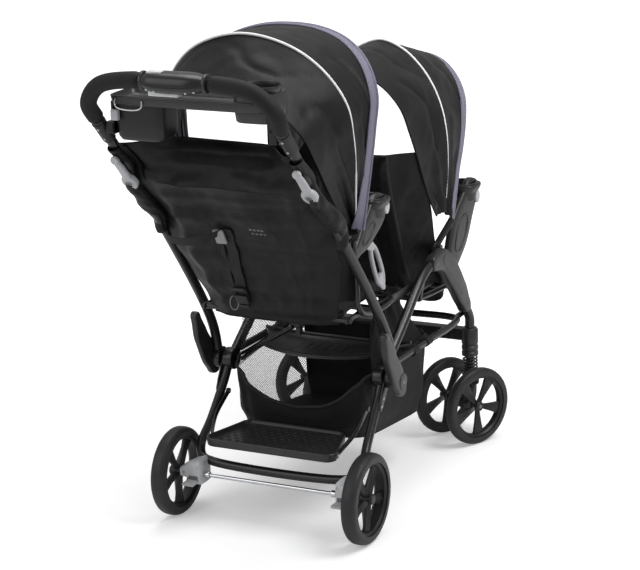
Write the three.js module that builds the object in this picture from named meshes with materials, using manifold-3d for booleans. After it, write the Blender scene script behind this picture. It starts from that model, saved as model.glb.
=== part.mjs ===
// Tandem twin stroller: steel tube frame on side fold hubs, two seats with canopies, a standing
// platform over the rear axle and swivelling twin front wheels. Millimetres, +Z up, front is -Y.
import * as THREE from "three";
import Module from "manifold-3d";
import { mergeVertices } from "three/addons/utils/BufferGeometryUtils.js";

// Place of the frame in the part: the rear axle and the middle plane, from the middle of the box
const rearAxleBehindOrigin = 289.6;
const middlePlaneFromOrigin = -13.8;

// Gaps between pieces
const seatGap = 0.3;
const runningGap = 0.6;
const foamGap = 0.9;
const cutOverrun = 2;
const mergeDistance = 1e-4;

// Rear wheels and axle
const rearTrack = 500;
const rearWheelRadius = 108;
const rearTyreWidth = 38;
const rearTyreDepth = 22;
const axleRadius = 4.5;
const spokeCount = 5;
const spokeRootWidth = 13;
const spokeTipWidth = 27;
const spokeThickness = 9;
const rimWallDepth = 7;
const hubCapRadius = 13;

// Front casters
const strutX = 206;
const strutY = -755;
const frontWheelRadius = 102;
const frontTyreWidth = 28;
const frontTyreDepth = 20;
const twinSpacing = 119;
const casterTrail = 32;
const casterSteerDegrees = -25.5;
const stemRadius = 11;
const forkWidth = 42;
const forkTopZ = 150;
const springSeatHeight = 8;
const springSeatRadius = 23;
const frontAxleRadius = 5;

// Suspension spring: one unbroken wire
const springWireRadius = 2.5;
const springCoilRadius = 18;
const springCurls = 7;
const springCurlSteps = 8;
const springSides = 5;

// Front crossbar with its two strut sleeves
const sleeveRadius = 22;
const sleeveBottomZ = 220;
const sleeveTopZ = 296;
const sleeveBoreRadius = 12.6;
const sleeveRoof = 12;
const suspensionTravel = 12;
const crossbarTopZ = 292;
const crossbarHeight = 30;
const crossbarDepth = 30;

// Fold hubs
const hubY = -205;
const hubZ = 336;
const hubDiscRadius = 27;
const hubPinRadius = 6;

// Main tubes
const tubeRadius = 12.5;
const tubeSides = 8;
const frameX = 202;
const frameTubeLength = 322;
const frameTubeSlopeDegrees = 34.1;
const frameSteps = 16;
const slope = radians(frameTubeSlopeDegrees);
const archStartY = hubY - frameTubeLength * Math.cos(slope);
const archStartZ = hubZ + frameTubeLength * Math.sin(slope);

// Arch brackets over the bend of the frame tubes
const archOuterReach = 15.5;
const archInnerReach = 8;
const archOuterX = frameX + archOuterReach;
const archInnerX = frameX - archInnerReach;
const archCrownHalfWidth = 32;
const archShares = [0.36, 0.44, 0.54, 0.64, 0.72];
const archWidthShares = [0.66, 0.9, 1, 0.9, 0.66];
const archBossRadius = 9;

// Push tubes and the handle bar
const pushHubX = 236;
const pushTopX = 224;
const pushTubeRadius = 12;
const pushBendY = -178;
const pushBendZ = 434;
const pushMiddleY = 46;
const pushMiddleZ = 740;
const pushTopY = 182;
const pushTopZ = 899;
const sleeveJointY = 256;
const sleeveJointZ = 984;
const lockSleeveRadius = 15.5;
const gripEndY = 303;
const gripEndZ = 1036;
const gripRadius = 18.5;
const gripBarRadius = 11;
const handleCornerX = 226;
const handleCornerY = 330;
const handleCornerZ = 1076;
const handleShoulderX = 186;
const handleShoulderY = 345;
const handleShoulderZ = 1121;
const handleTopY = 346;
const handleTopZ = 1138;

// Trigger housing on the handle bar
const housingLength = 146;
const housingDepth = 62;
const housingHeight = 44;
const triggerLength = 72;
const triggerDepth = 20;
const triggerHeight = 12;
const thumbButtonLength = 34;
const thumbButtonDepth = 18;
const thumbButtonHeight = 5;
const thumbButtonX = 42;
const thumbButtonSetback = 8;

// Grey fold latches on the push tubes
const latchLength = 62;
const latchWidth = 20;
const latchThickness = 10;
const latchBelowShare = 0.3;

// Hub castings on the outer face of the push tubes
const castingThickness = 12;
const castingRun = 82;
const castingRise = 152;
const castingHalfWidth = 30;
const castingRunShares = [1, 0.71, 0.29, 0.05];
const castingRiseShares = [0.88, 0.47, 0.1, -0.12];
const castingWidthShares = [0.23, 0.73, 1, 0.8];

// Parent tray
const trayHalfWidth = 192;
const trayRearY = 312;
const trayFrontY = 196;
const trayTopZ = 1092;
const trayBottomZ = 1052;
const trayWall = 3;
const parentCupX = -152;
const parentCupY = 250;
const parentCupRadius = 46;
const parentCupTopZ = 1122;
const parentCupBottomZ = 1046;
const clampY = 282;
const clampDepth = 28;
const clampFootZ = 1004;
const clampFootHeight = 26;

// Rear legs
const rearLegRadius = 11;
const legTopX = 207;
const legFootInset = 2;
const legFootY = -34;
const legFootZ = 128;
const crossTubeZ = 132;
const crossTubeY = -30;
const crossTubeBend = 10;
const legHeadY = -175;
const legHeadZ = 292;
const legBendRun = 22;
const legBendRise = 34;
const legToeIn = 12;
const legToeDrop = 8;
const eyeThickness = 6;
const eyeRadius = 16;
const eyeTailHalfWidth = 9;
const legEyeX = 218.5;

// Wheel brackets on the rear legs
const bracketHubGap = 14;
const bracketWidth = 38;
const bracketHeight = 62;
const bracketDepth = 58;
const bracketRearShare = 0.35;
const bracketNose = 20;
const bracketLift = 8;
const bracketInnerX = rearTrack / 2 - bracketHubGap - bracketNose - bracketWidth;
const legFootX = bracketInnerX + bracketWidth - legFootInset;
const crossTubeHalf = bracketInnerX - crossTubeBend;
const bracketChamfer = 8;

// Standing platform and its stays
const platformSideGap = 6;
const platformTaper = 32;
const platformHalfRear = bracketInnerX - platformSideGap;
const platformHalfFront = platformHalfRear - platformTaper;
const platformRearY = 10;
const platformFrontY = -150;
const platformTopZ = 206;
const platformDepth = 22;
const platformRim = 9;
const platformWall = 8;
const platformFootInset = 2.6;
const stayWidth = 16;
const stayThickness = 4;
const stayTopShare = 0.14;
const stayX = 187;
const stayFootSetback = 34;
const stayBossRadius = 7;

// Brake pedal
const pedalLength = 30;
const pedalWidth = 30;
const pedalThickness = 6;
const pedalDrop = 12;

// Lower rails and the sitting bench
const railX = 204;
const railRadius = 9;
const railRearY = -260;
const railRearZ = 348;
const railFrontY = -688;
const railFrontZ = 336;
const railBend = 30;
const railLugWidth = 8;
const railLugHeight = 14;
const benchFrontY = -392;
const benchDish = 14;
const benchRearBow = 38;
const benchWall = 5;

// Storage basket
const basketHalfWidth = 188;
const basketRearY = -150.6;
const basketFrontY = -560;
const basketFloorZ = 140;
const basketRearFloorZ = 184;
const basketFrontTopZ = 342;
const basketRearTopZ = 262;
const basketWall = 3;
const hangerWidth = 30;
const hangerHeight = 22;

// Rear seat
const rearSeatPivotY = -66;
const rearSeatPivotZ = 520;
const rearBackTopY = 132;
const rearBackTopZ = 968;
const rearBackHalfWidth = 172;
const rearBackThickness = 26;
const rearPadHalfWidth = 165;
const rearPadRearY = -92;
const rearPadFrontY = -334;
const rearPadZ = 508;
const rearPadThickness = 34;
const seatTubeRadius = 7;
const seatFrameX = 193.5;
const seatFrameBehindPivot = 44;
const seatFrameBend = 30;
const lugThickness = 6;
const lugHalfWidth = 11;
const lugY = -286;
const lugOverlap = 60;
const lugDrop = 8;
const rearLugRise = 14;

// Front seat
const frontSeatPivotY = -520;
const frontSeatPivotZ = 442;
const frontBackTopY = -372;
const frontBackTopZ = 836;
const frontBackHalfWidth = 158;
const frontBackThickness = 26;
const frontPadRearY = -546;
const frontPadFrontY = -770;
const frontPadZ = 430;
const frontPadThickness = 34;
const calfLength = 96;
const frontCrossY = -688;
const frontBarGap = 2;
const hangY = -486;
const hangZ = 508;

// Child trays
const childTraySideGap = 16;
const childTrayHalfWidth = frameX - childTraySideGap;
const rearTrayY = -236;
const rearTrayZ = 764;
const frontTrayY = -806;
const frontTrayZ = 668;
const childTrayDepth = 92;
const childTrayHeight = 20;
const childCupRadius = 36;
const childCupDepth = 44;
const childCupWall = 3;
const childCupInset = 8;
const trayArmThickness = 12;
const rearArmHalfWidth = 25;
const frontArmHalfWidth = 38;
const trayArmWidthShares = [0.55, 1, 0.7];
const trayOverhang = 11;
const trayPinRadius = 6;
const rearArmFootY = -102;
const rearArmFootZ = 662;
const frontArmForward = 176.4;
const frontArmDrop = 38.5;
const frontArmFootY = archStartY - frontArmForward;
const frontArmFootZ = archStartZ - frontArmDrop;

// Canopies
const canopySideGap = 16;
const canopyBaseHalf = frameX - canopySideGap;
const canopySkin = 3.2;
const rearHemHeight = 424;
const rearMiddleHeight = 486;
const rearFrontHeight = 496;
const rearHemFlare = 60;
const rearMiddleFlare = 168;
const rearFrontFlare = 166;
const frontHemHeight = 530;
const frontMiddleHeight = 508;
const frontFrontHeight = 548;
const frontHemFlare = 30;
const frontMiddleFlare = 165;
const frontFrontFlare = 119;
const rearCanopyHingeY = -92;
const rearCanopyHingeZ = 716;
const frontHingeForward = 124.4;
const frontHingeRise = 33.5;
const frontCanopyHingeY = archStartY - frontHingeForward;
const frontCanopyHingeZ = archStartZ + frontHingeRise;
const bowBandWidth = 26;
const bowThickness = 7;
const hingeDiscRadius = 17;
const hingeDiscWidth = 11;

// Seat latches under the rear tray's arms
const seatLatchThickness = 7;
const seatLatchTopY = -140;
const seatLatchTopZ = 684;
const seatLatchRun = 88;
const seatLatchDrop = 118;
const seatLatchHalfWidth = 13;
const seatLatchShares = [0, 0.5, 1];
const seatLatchWidthShares = [0.85, 1, 0.7];

const black = new THREE.MeshStandardMaterial({ color: 0x17171a, roughness: 0.42, metalness: 0.55 });
const blackPlastic = new THREE.MeshStandardMaterial({ color: 0x1c1c1f, roughness: 0.5, metalness: 0 });
const greyPlastic = new THREE.MeshStandardMaterial({ color: 0x8e9398, roughness: 0.45, metalness: 0 });
const rubber = new THREE.MeshStandardMaterial({ color: 0x232326, roughness: 0.8, metalness: 0 });
const foam = new THREE.MeshStandardMaterial({ color: 0x19191b, roughness: 0.9, metalness: 0 });
const chrome = new THREE.MeshStandardMaterial({ color: 0xc9ccd0, roughness: 0.15, metalness: 1 });
const fabric = new THREE.MeshStandardMaterial({ color: 0x141416, roughness: 0.95, metalness: 0 });
const band = new THREE.MeshStandardMaterial({ color: 0x6d6780, roughness: 0.9, metalness: 0 });

const wasm = await Module();
wasm.setup();

const stroller = new THREE.Group();
stroller.position.set(middlePlaneFromOrigin, rearAxleBehindOrigin, 0);
const sides = [
  { name: "right", sign: -1 },
  { name: "left", sign: 1 },
];

function piece(name, geometry, material, parent = stroller) {
  const mesh = new THREE.Mesh(geometry, material);
  mesh.name = name;
  parent.add(mesh);
  return mesh;
}

function point(x, y, z) {
  return new THREE.Vector3(x, y, z);
}

function radians(degrees) {
  return THREE.MathUtils.degToRad(degrees);
}

function mix(a, b, share) {
  return a + (b - a) * share;
}

// Closed solids in and out of the boolean library
function solidOf(geometry) {
  const bare = geometry.clone();
  bare.deleteAttribute("normal");
  bare.deleteAttribute("uv");
  const merged = mergeVertices(bare, mergeDistance);
  return new wasm.Manifold(
    new wasm.Mesh({
      numProp: 3,
      vertProperties: merged.attributes.position.array,
      triVerts: new Uint32Array(merged.index.array),
    }),
  );
}

function geometryOf(solid) {
  const mesh = solid.getMesh();
  const geometry = new THREE.BufferGeometry();
  geometry.setAttribute("position", new THREE.BufferAttribute(mesh.vertProperties, 3));
  geometry.setIndex(new THREE.BufferAttribute(mesh.triVerts, 1));
  return geometry;
}

function join(...geometries) {
  return geometryOf(geometries.map(solidOf).reduce((whole, next) => whole.add(next)));
}

function cut(geometry, ...tools) {
  return geometryOf(tools.map(solidOf).reduce((whole, tool) => whole.subtract(tool), solidOf(geometry)));
}

// A box given by its middle and its full size
function block(middle, width, depth, height) {
  const geometry = new THREE.BoxGeometry(width, depth, height);
  geometry.translate(middle.x, middle.y, middle.z);
  return geometry;
}

// A round bar between two points
function bar(from, to, radius, sidesAround = tubeSides) {
  const along = to.clone().sub(from);
  const geometry = new THREE.CylinderGeometry(radius, radius, along.length(), sidesAround);
  const turn = new THREE.Quaternion().setFromUnitVectors(new THREE.Vector3(0, 1, 0), along.clone().normalize());
  geometry.applyQuaternion(turn);
  geometry.translate((from.x + to.x) / 2, (from.y + to.y) / 2, (from.z + to.z) / 2);
  return geometry;
}

// A round tube along a smooth curve through the points
function bentTube(points, radius, steps, sidesAround = tubeSides) {
  const section = new THREE.Shape();
  for (let i = 0; i < sidesAround; i++) {
    const angle = (2 * Math.PI * i) / sidesAround;
    const x = radius * Math.cos(angle);
    const y = radius * Math.sin(angle);
    if (i === 0) section.moveTo(x, y);
    else section.lineTo(x, y);
  }
  section.closePath();
  const curve = new THREE.CatmullRomCurve3(points, false, "centripetal");
  return new THREE.ExtrudeGeometry(section, { steps, bevelEnabled: false, extrudePath: curve });
}

// A flat plate whose outline is drawn in the side view (y, z) and whose thickness runs along X
function sidePlate(outline, lowX, highX) {
  const shape = new THREE.Shape(outline.map(([y, z]) => new THREE.Vector2(y, z)));
  const geometry = new THREE.ExtrudeGeometry(shape, { depth: highX - lowX, bevelEnabled: false });
  geometry.applyMatrix4(new THREE.Matrix4().set(0, 0, 1, lowX, 1, 0, 0, 0, 0, 1, 0, 0, 0, 0, 0, 1));
  return geometry;
}

// The outline of a band of changing width along a smooth line in the side view
function bandOutline(line, halfWidths, steps) {
  const curve = new THREE.CatmullRomCurve3(line.map(([y, z]) => point(y, z, 0)), false, "centripetal");
  const widths = new THREE.CatmullRomCurve3(halfWidths.map((w, i) => point(w, i, 0)), false, "centripetal");
  const upper = [];
  const lower = [];
  for (let i = 0; i <= steps; i++) {
    const share = i / steps;
    const at = curve.getPoint(share);
    const along = curve.getTangent(share);
    const width = widths.getPoint(share).x;
    upper.push([at.x - along.y * width, at.y + along.x * width]);
    lower.unshift([at.x + along.y * width, at.y - along.x * width]);
  }
  return upper.concat(lower);
}

// A solid of rings laid one after another, closed by a fan at both ends
function loft(rings) {
  const count = rings[0].length;
  const vertices = [];
  const triangles = [];
  rings.forEach((ring) => ring.forEach((p) => vertices.push(p.x, p.y, p.z)));
  for (let r = 0; r + 1 < rings.length; r++) {
    for (let i = 0; i < count; i++) {
      const a = r * count + i;
      const b = r * count + ((i + 1) % count);
      triangles.push(a, b, a + count);
      triangles.push(b, b + count, a + count);
    }
  }
  for (const end of [0, rings.length - 1]) {
    const middle = rings[end].reduce((sum, p) => sum.add(p), point(0, 0, 0)).divideScalar(count);
    const hub = vertices.length / 3;
    vertices.push(middle.x, middle.y, middle.z);
    for (let i = 0; i < count; i++) {
      const a = end * count + i;
      const b = end * count + ((i + 1) % count);
      if (end === 0) triangles.push(b, a, hub);
      else triangles.push(a, b, hub);
    }
  }
  return outwards(vertices, triangles);
}

// A sheet between two grids of points, closed along its four edges
function sheet(front, back) {
  const rows = front.length;
  const columns = front[0].length;
  const vertices = [];
  const triangles = [];
  for (const grid of [front, back]) grid.forEach((row) => row.forEach((p) => vertices.push(p.x, p.y, p.z)));
  const at = (face, row, column) => (face * rows + row) * columns + column;
  const quad = (a, b, c, d) => triangles.push(a, b, c, a, c, d);
  for (let r = 0; r + 1 < rows; r++) {
    for (let c = 0; c + 1 < columns; c++) {
      quad(at(0, r, c), at(0, r, c + 1), at(0, r + 1, c + 1), at(0, r + 1, c));
      quad(at(1, r, c), at(1, r + 1, c), at(1, r + 1, c + 1), at(1, r, c + 1));
    }
  }
  for (let c = 0; c + 1 < columns; c++) {
    quad(at(0, 0, c), at(1, 0, c), at(1, 0, c + 1), at(0, 0, c + 1));
    quad(at(0, rows - 1, c), at(0, rows - 1, c + 1), at(1, rows - 1, c + 1), at(1, rows - 1, c));
  }
  for (let r = 0; r + 1 < rows; r++) {
    quad(at(0, r, 0), at(0, r + 1, 0), at(1, r + 1, 0), at(1, r, 0));
    quad(at(0, r, columns - 1), at(1, r, columns - 1), at(1, r + 1, columns - 1), at(0, r + 1, columns - 1));
  }
  return outwards(vertices, triangles);
}

function outwards(vertices, triangles) {
  let volume = 0;
  const corner = (i) => point(vertices[3 * i], vertices[3 * i + 1], vertices[3 * i + 2]);
  for (let t = 0; t < triangles.length; t += 3) {
    volume += corner(triangles[t]).dot(corner(triangles[t + 1]).cross(corner(triangles[t + 2])));
  }
  if (volume < 0) triangles.reverse();
  const geometry = new THREE.BufferGeometry();
  geometry.setAttribute("position", new THREE.Float32BufferAttribute(vertices, 3));
  geometry.setIndex(triangles);
  return geometry;
}

// A solid of revolution about the X axis through a point
function wheelLathe(profile, centre, segments) {
  const geometry = new THREE.LatheGeometry(
    profile.map(([radius, across]) => new THREE.Vector2(radius, across)),
    segments,
  );
  geometry.rotateZ(-Math.PI / 2);
  geometry.translate(centre.x, centre.y, centre.z);
  return geometry;
}

function disc(centre, radius, width, segments = 20) {
  const half = width / 2;
  return wheelLathe([[0, -half], [radius, -half], [radius, half], [0, half]], centre, segments);
}

// Wheels: a plastic rim with five broad paddle spokes and a foam-rubber tyre

const rimSegments = 18;
const paddleDishShare = 0.35;

function tyreGeometry(centre, radius, width, depth) {
  const half = width / 2;
  const seat = radius - depth;
  const shoulderShare = 0.72;
  const crownShare = 0.42;
  return wheelLathe(
    [
      [seat, -half * shoulderShare],
      [mix(seat, radius, crownShare), -half],
      [radius, -half * crownShare],
      [radius, half * crownShare],
      [mix(seat, radius, crownShare), half],
      [seat, half * shoulderShare],
      [seat, -half * shoulderShare],
    ],
    centre,
    rimSegments,
  );
}

function rimGeometry(centre, radius, width, depth, boreRadius) {
  const shoulderShare = 0.7;
  const half = (width / 2) * shoulderShare;
  const outer = radius - depth - seatGap;
  const inner = outer - rimWallDepth;
  const ring = wheelLathe([[inner, -half], [outer, -half], [outer, half], [inner, half], [inner, -half]], centre, rimSegments);
  const hub = wheelLathe(
    [[boreRadius, -half], [hubCapRadius, -half], [hubCapRadius, half], [boreRadius, half], [boreRadius, -half]],
    centre,
    10,
  );
  const root = (boreRadius + hubCapRadius) / 2;
  const spokes = [];
  for (let i = 0; i < spokeCount; i++) {
    const reach = inner + rimWallDepth / 2;
    const shape = new THREE.Shape([
      new THREE.Vector2(root, -spokeRootWidth / 2),
      new THREE.Vector2(reach, -spokeTipWidth / 2),
      new THREE.Vector2(reach, spokeTipWidth / 2),
      new THREE.Vector2(root, spokeRootWidth / 2),
    ]);
    const paddle = new THREE.ExtrudeGeometry(shape, { depth: spokeThickness, bevelEnabled: false });
    paddle.translate(0, 0, -spokeThickness / 2);
    paddle.rotateX((Math.PI / 2) * paddleDishShare);
    paddle.rotateZ((2 * Math.PI * i) / spokeCount);
    paddle.rotateX(Math.PI / 2);
    paddle.rotateZ(Math.PI / 2);
    paddle.translate(centre.x, centre.y, centre.z);
    spokes.push(paddle);
  }
  return join(ring, hub, ...spokes);
}

// Rear wheels on one chromed axle

for (const { name, sign } of sides) {
  const centre = point((sign * rearTrack) / 2, 0, rearWheelRadius);
  piece(
    `rear_rim_${name}`,
    rimGeometry(centre, rearWheelRadius, rearTyreWidth, rearTyreDepth, axleRadius + runningGap),
    blackPlastic,
  );
  piece(`rear_tyre_${name}`, tyreGeometry(centre, rearWheelRadius, rearTyreWidth, rearTyreDepth), rubber);
}
const axleHalf = rearTrack / 2 + rearTyreWidth / 2 - cutOverrun;
piece(
  "rear_axle",
  bar(point(-axleHalf, 0, rearWheelRadius), point(axleHalf, 0, rearWheelRadius), axleRadius),
  chrome,
);

// Front casters: each a stem and fork that swivels, with two wheels on a stub axle

for (const { name, sign } of sides) {
  const caster = new THREE.Group();
  caster.position.set(sign * strutX, strutY, 0);
  caster.rotation.z = radians(casterSteerDegrees);
  stroller.add(caster);
  const stemTop = sleeveTopZ - sleeveRoof - suspensionTravel - runningGap;
  const stem = bar(point(0, 0, forkTopZ), point(0, 0, stemTop), stemRadius, 10);
  const seat = bar(
    point(0, 0, forkTopZ - springSeatHeight),
    point(0, 0, forkTopZ + springSeatHeight / 2),
    springSeatRadius,
    14,
  );
  const forkLine = [
    [0, forkTopZ - springSeatHeight / 2],
    [casterTrail * 0.3, mix(forkTopZ, frontWheelRadius, 0.5)],
    [casterTrail, frontWheelRadius],
  ];
  const forkHalfWidths = [springSeatRadius, springSeatRadius * 0.9, springSeatRadius * 0.7];
  const fork = sidePlate(bandOutline(forkLine, forkHalfWidths, 6), -forkWidth / 2, forkWidth / 2);
  const axleCentre = point(0, casterTrail, frontWheelRadius);
  const knuckle = disc(axleCentre, springSeatRadius * 0.72, forkWidth, 12);
  const halfAxle = twinSpacing / 2 + frontTyreWidth / 2;
  const axle = bar(
    point(-halfAxle, casterTrail, frontWheelRadius),
    point(halfAxle, casterTrail, frontWheelRadius),
    frontAxleRadius,
  );
  piece(`caster_fork_${name}`, join(stem, seat, fork, knuckle, axle), blackPlastic, caster);
  for (const [place, offset] of [["outer", sign], ["inner", -sign]]) {
    const centre = point((offset * twinSpacing) / 2, casterTrail, frontWheelRadius);
    piece(
      `front_rim_${name}_${place}`,
      rimGeometry(centre, frontWheelRadius, frontTyreWidth, frontTyreDepth, frontAxleRadius + runningGap),
      blackPlastic,
      caster,
    );
    piece(
      `front_tyre_${name}_${place}`,
      tyreGeometry(centre, frontWheelRadius, frontTyreWidth, frontTyreDepth),
      rubber,
      caster,
    );
  }
  const springBottom = forkTopZ + springSeatHeight / 2 + seatGap + springWireRadius;
  const springTop = sleeveBottomZ - seatGap - springWireRadius;
  const curls = [];
  const steps = springCurls * springCurlSteps;
  for (let i = 0; i <= steps; i++) {
    const angle = (2 * Math.PI * i) / springCurlSteps;
    curls.push(
      point(
        sign * strutX + springCoilRadius * Math.cos(angle),
        strutY + springCoilRadius * Math.sin(angle),
        mix(springBottom, springTop, i / steps),
      ),
    );
  }
  const pitch = (springTop - springBottom) / springCurls;
  const gap = pitch - 2 * springWireRadius;
  console.log(`spring_${name}: least gap between curls ${gap.toFixed(2)} mm`);
  piece(`spring_${name}`, bentTube(curls, springWireRadius, steps, springSides), black);
}

// Front crossbar: a beam and two strut sleeves moulded as one, open from below

const sleeves = sides.map(({ sign }) =>
  bar(point(sign * strutX, strutY, sleeveBottomZ), point(sign * strutX, strutY, sleeveTopZ), sleeveRadius, 16),
);
const beam = block(
  point(0, strutY, crossbarTopZ - crossbarHeight / 2),
  2 * strutX,
  crossbarDepth,
  crossbarHeight,
);
const sleeveBores = sides.map(({ sign }) =>
  bar(
    point(sign * strutX, strutY, sleeveBottomZ - cutOverrun),
    point(sign * strutX, strutY, sleeveTopZ - sleeveRoof),
    sleeveBoreRadius,
    12,
  ),
);
piece("front_crossbar", cut(join(beam, ...sleeves), ...sleeveBores), blackPlastic);

// Frame tubes: from each hub up to the arch bracket and down as the front leg into the strut sleeve

const hubPinEndX = pushHubX + pushTubeRadius;

function framePath(sign) {
  const footX = sign * strutX;
  return [
    point(sign * frameX, hubY, hubZ),
    point(sign * frameX, mix(hubY, archStartY, 0.5), mix(hubZ, archStartZ, 0.5)),
    point(sign * frameX, archStartY, archStartZ),
    point(sign * frameX, mix(archStartY, strutY, 0.34), archStartZ + tubeRadius),
    point(sign * frameX, mix(archStartY, strutY, 0.64), mix(archStartZ, sleeveTopZ, 0.26)),
    point(sign * mix(frameX, strutX, 0.5), mix(archStartY, strutY, 0.88), mix(archStartZ, sleeveTopZ, 0.66)),
    point(footX, strutY, sleeveTopZ + 2 * tubeRadius),
    point(footX, strutY, sleeveTopZ + seatGap),
  ];
}

// The space that a frame tube and its clearance take from a neighbour
function frameBore(sign) {
  return bentTube(framePath(sign), tubeRadius + seatGap, frameSteps);
}

for (const { name, sign } of sides) {
  const path = framePath(sign);
  const hubDisc = disc(path[0], hubDiscRadius, 2 * tubeRadius);
  const pin = bar(path[0], point(sign * hubPinEndX, hubY, hubZ), hubPinRadius, 12);
  piece(`frame_tube_${name}`, join(bentTube(path, tubeRadius, frameSteps), hubDisc, pin), black);

  const curve = new THREE.CatmullRomCurve3(path, false, "centripetal");
  const line = archShares.map((share) => {
    const at = curve.getPoint(share);
    return [at.y, at.z];
  });
  const widths = archWidthShares.map((share) => archCrownHalfWidth * share);
  const low = Math.min(sign * archInnerX, sign * archOuterX);
  const shell = sidePlate(bandOutline(line, widths, 10), low, low + archOuterX - archInnerX);
  const boss = bar(
    point(sign * (canopyBaseHalf + seatGap), frontCanopyHingeY, frontCanopyHingeZ),
    point(sign * (archInnerX + cutOverrun), frontCanopyHingeY, frontCanopyHingeZ),
    archBossRadius,
    12,
  );
  piece(`arch_bracket_${name}`, cut(join(shell, boss), frameBore(sign)), blackPlastic);
}

// Lower rails: a U of tube from hub to hub, with a lug to each front leg

const railBendY = railFrontY + railBend;
const railCornerShare = 0.93;
const railPath = [
  point(-railX, railRearY, railRearZ),
  point(-railX, mix(railRearY, railBendY, 0.5), mix(railRearZ, railFrontZ, 0.5)),
  point(-railX, railBendY, railFrontZ),
  point(-railX * railCornerShare, railFrontY - railRadius, railFrontZ),
  point(0, railFrontY - railRadius, railFrontZ),
  point(railX * railCornerShare, railFrontY - railRadius, railFrontZ),
  point(railX, railBendY, railFrontZ),
  point(railX, mix(railRearY, railBendY, 0.5), mix(railRearZ, railFrontZ, 0.5)),
  point(railX, railRearY, railRearZ),
];
const railLugs = sides.map(({ sign }) =>
  block(
    point(sign * railX * railCornerShare, (railFrontY + strutY) / 2, railFrontZ),
    railLugWidth,
    railFrontY - strutY,
    railLugHeight,
  ),
);
const fittedLugs = cut(join(...railLugs), frameBore(-1), frameBore(1));
piece("lower_rail", join(bentTube(railPath, railRadius, 24), fittedLugs), black);

// Standing bench: a dished moulding with rolled side rails

const benchTopZ = railRearZ + railRadius + seatGap + benchWall;
const benchFrameClearance = tubeRadius / Math.cos(slope) + runningGap;
const benchRearY = hubY - (benchTopZ - hubZ + benchFrameClearance) / Math.tan(slope);
const benchColumns = 10;
const benchRows = 4;

function benchPoint(rowShare, columnShare, drop) {
  const across = 2 * columnShare - 1;
  const dish = benchDish * (1 - across * across);
  const rearBow = benchRearBow * (1 - across * across);
  return point(
    across * railX,
    mix(benchRearY + rearBow, benchFrontY, rowShare),
    benchTopZ - dish - drop,
  );
}

function grid(rows, columns, make) {
  const result = [];
  for (let r = 0; r <= rows; r++) {
    const row = [];
    for (let c = 0; c <= columns; c++) row.push(make(r / rows, c / columns));
    result.push(row);
  }
  return result;
}

piece(
  "bench",
  sheet(
    grid(benchRows, benchColumns, (r, c) => benchPoint(r, c, 0)),
    grid(benchRows, benchColumns, (r, c) => benchPoint(r, c, benchWall)),
  ),
  blackPlastic,
);

// Storage basket: a fabric tub with a low rear mouth

const basketAround = 28;

function basketRing(inset, heightShare, taperShare) {
  const ring = [];
  for (let i = 0; i < basketAround; i++) {
    const angle = (2 * Math.PI * i) / basketAround;
    const power = 0.32;
    const cx = Math.sign(Math.cos(angle)) * Math.abs(Math.cos(angle)) ** power;
    const cy = Math.sign(Math.sin(angle)) * Math.abs(Math.sin(angle)) ** power;
    const halfX = basketHalfWidth * taperShare - inset;
    const halfY = ((basketRearY - basketFrontY) / 2) * mix(1, taperShare, 0.5) - inset;
    const middleY = (basketRearY + basketFrontY) / 2;
    const rim = mix(basketFrontTopZ, basketRearTopZ, Math.max(0, cy) ** 2 * (1 - 0.55 * Math.abs(cx) ** 6));
    const floor = mix(basketFloorZ, basketRearFloorZ, (1 + cy) / 2) + (inset > 0 ? basketWall : 0);
    ring.push(point(cx * halfX, middleY + cy * halfY, mix(floor, rim, heightShare)));
  }
  return ring;
}

const hangerShares = [0.6, 0.8];
const hangerZ = basketFrontTopZ - hangerHeight / 4;
const hangers = [];
for (const { sign } of sides) {
  for (const share of hangerShares) {
    const inner = basketHalfWidth - basketWall;
    const outer = railX - railRadius - seatGap;
    const middle = point((sign * (inner + outer)) / 2, mix(basketRearY, basketFrontY, share), hangerZ);
    hangers.push(block(middle, outer - inner, hangerWidth, hangerHeight));
  }
}
piece(
  "basket",
  join(
    loft([
      basketRing(0, 0, 0.9),
      basketRing(0, 0.3, 0.97),
      basketRing(0, 1, 1),
      basketRing(basketWall, 1, 1),
      basketRing(basketWall, 0.3, 0.97),
      basketRing(basketWall, 0, 0.9),
    ]),
    ...hangers,
  ),
  fabric,
);

// Cushions: crowned, with sides that draw in between the corners

const cushionRows = 8;
const cushionColumns = 8;
const drawInShare = 0.035;

function cushion(rear, front, halfWidth, thickness, crown) {
  const along = front.clone().sub(rear);
  const across = new THREE.Vector3(1, 0, 0);
  const up = across.clone().cross(along).normalize();
  if (up.z < 0) up.negate();
  const make = (face) => (r, c) => {
    const u = 2 * c - 1;
    const v = 2 * r - 1;
    const pull = 1 - drawInShare * (1 - v * v) * u * u - drawInShare * (1 - u * u) * v * v;
    const edge = (1 - u ** 6) * (1 - v ** 6);
    const lift = face > 0 ? thickness * (0.5 + 0.5 * Math.sqrt(edge)) + crown * (1 - u * u) * (1 - v * v) : 0;
    return rear
      .clone()
      .addScaledVector(along, 0.5 + 0.5 * v * pull)
      .addScaledVector(across, u * halfWidth * pull)
      .addScaledVector(up, lift);
  };
  return sheet(grid(cushionRows, cushionColumns, make(1)), grid(cushionRows, cushionColumns, make(-1)));
}

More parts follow.
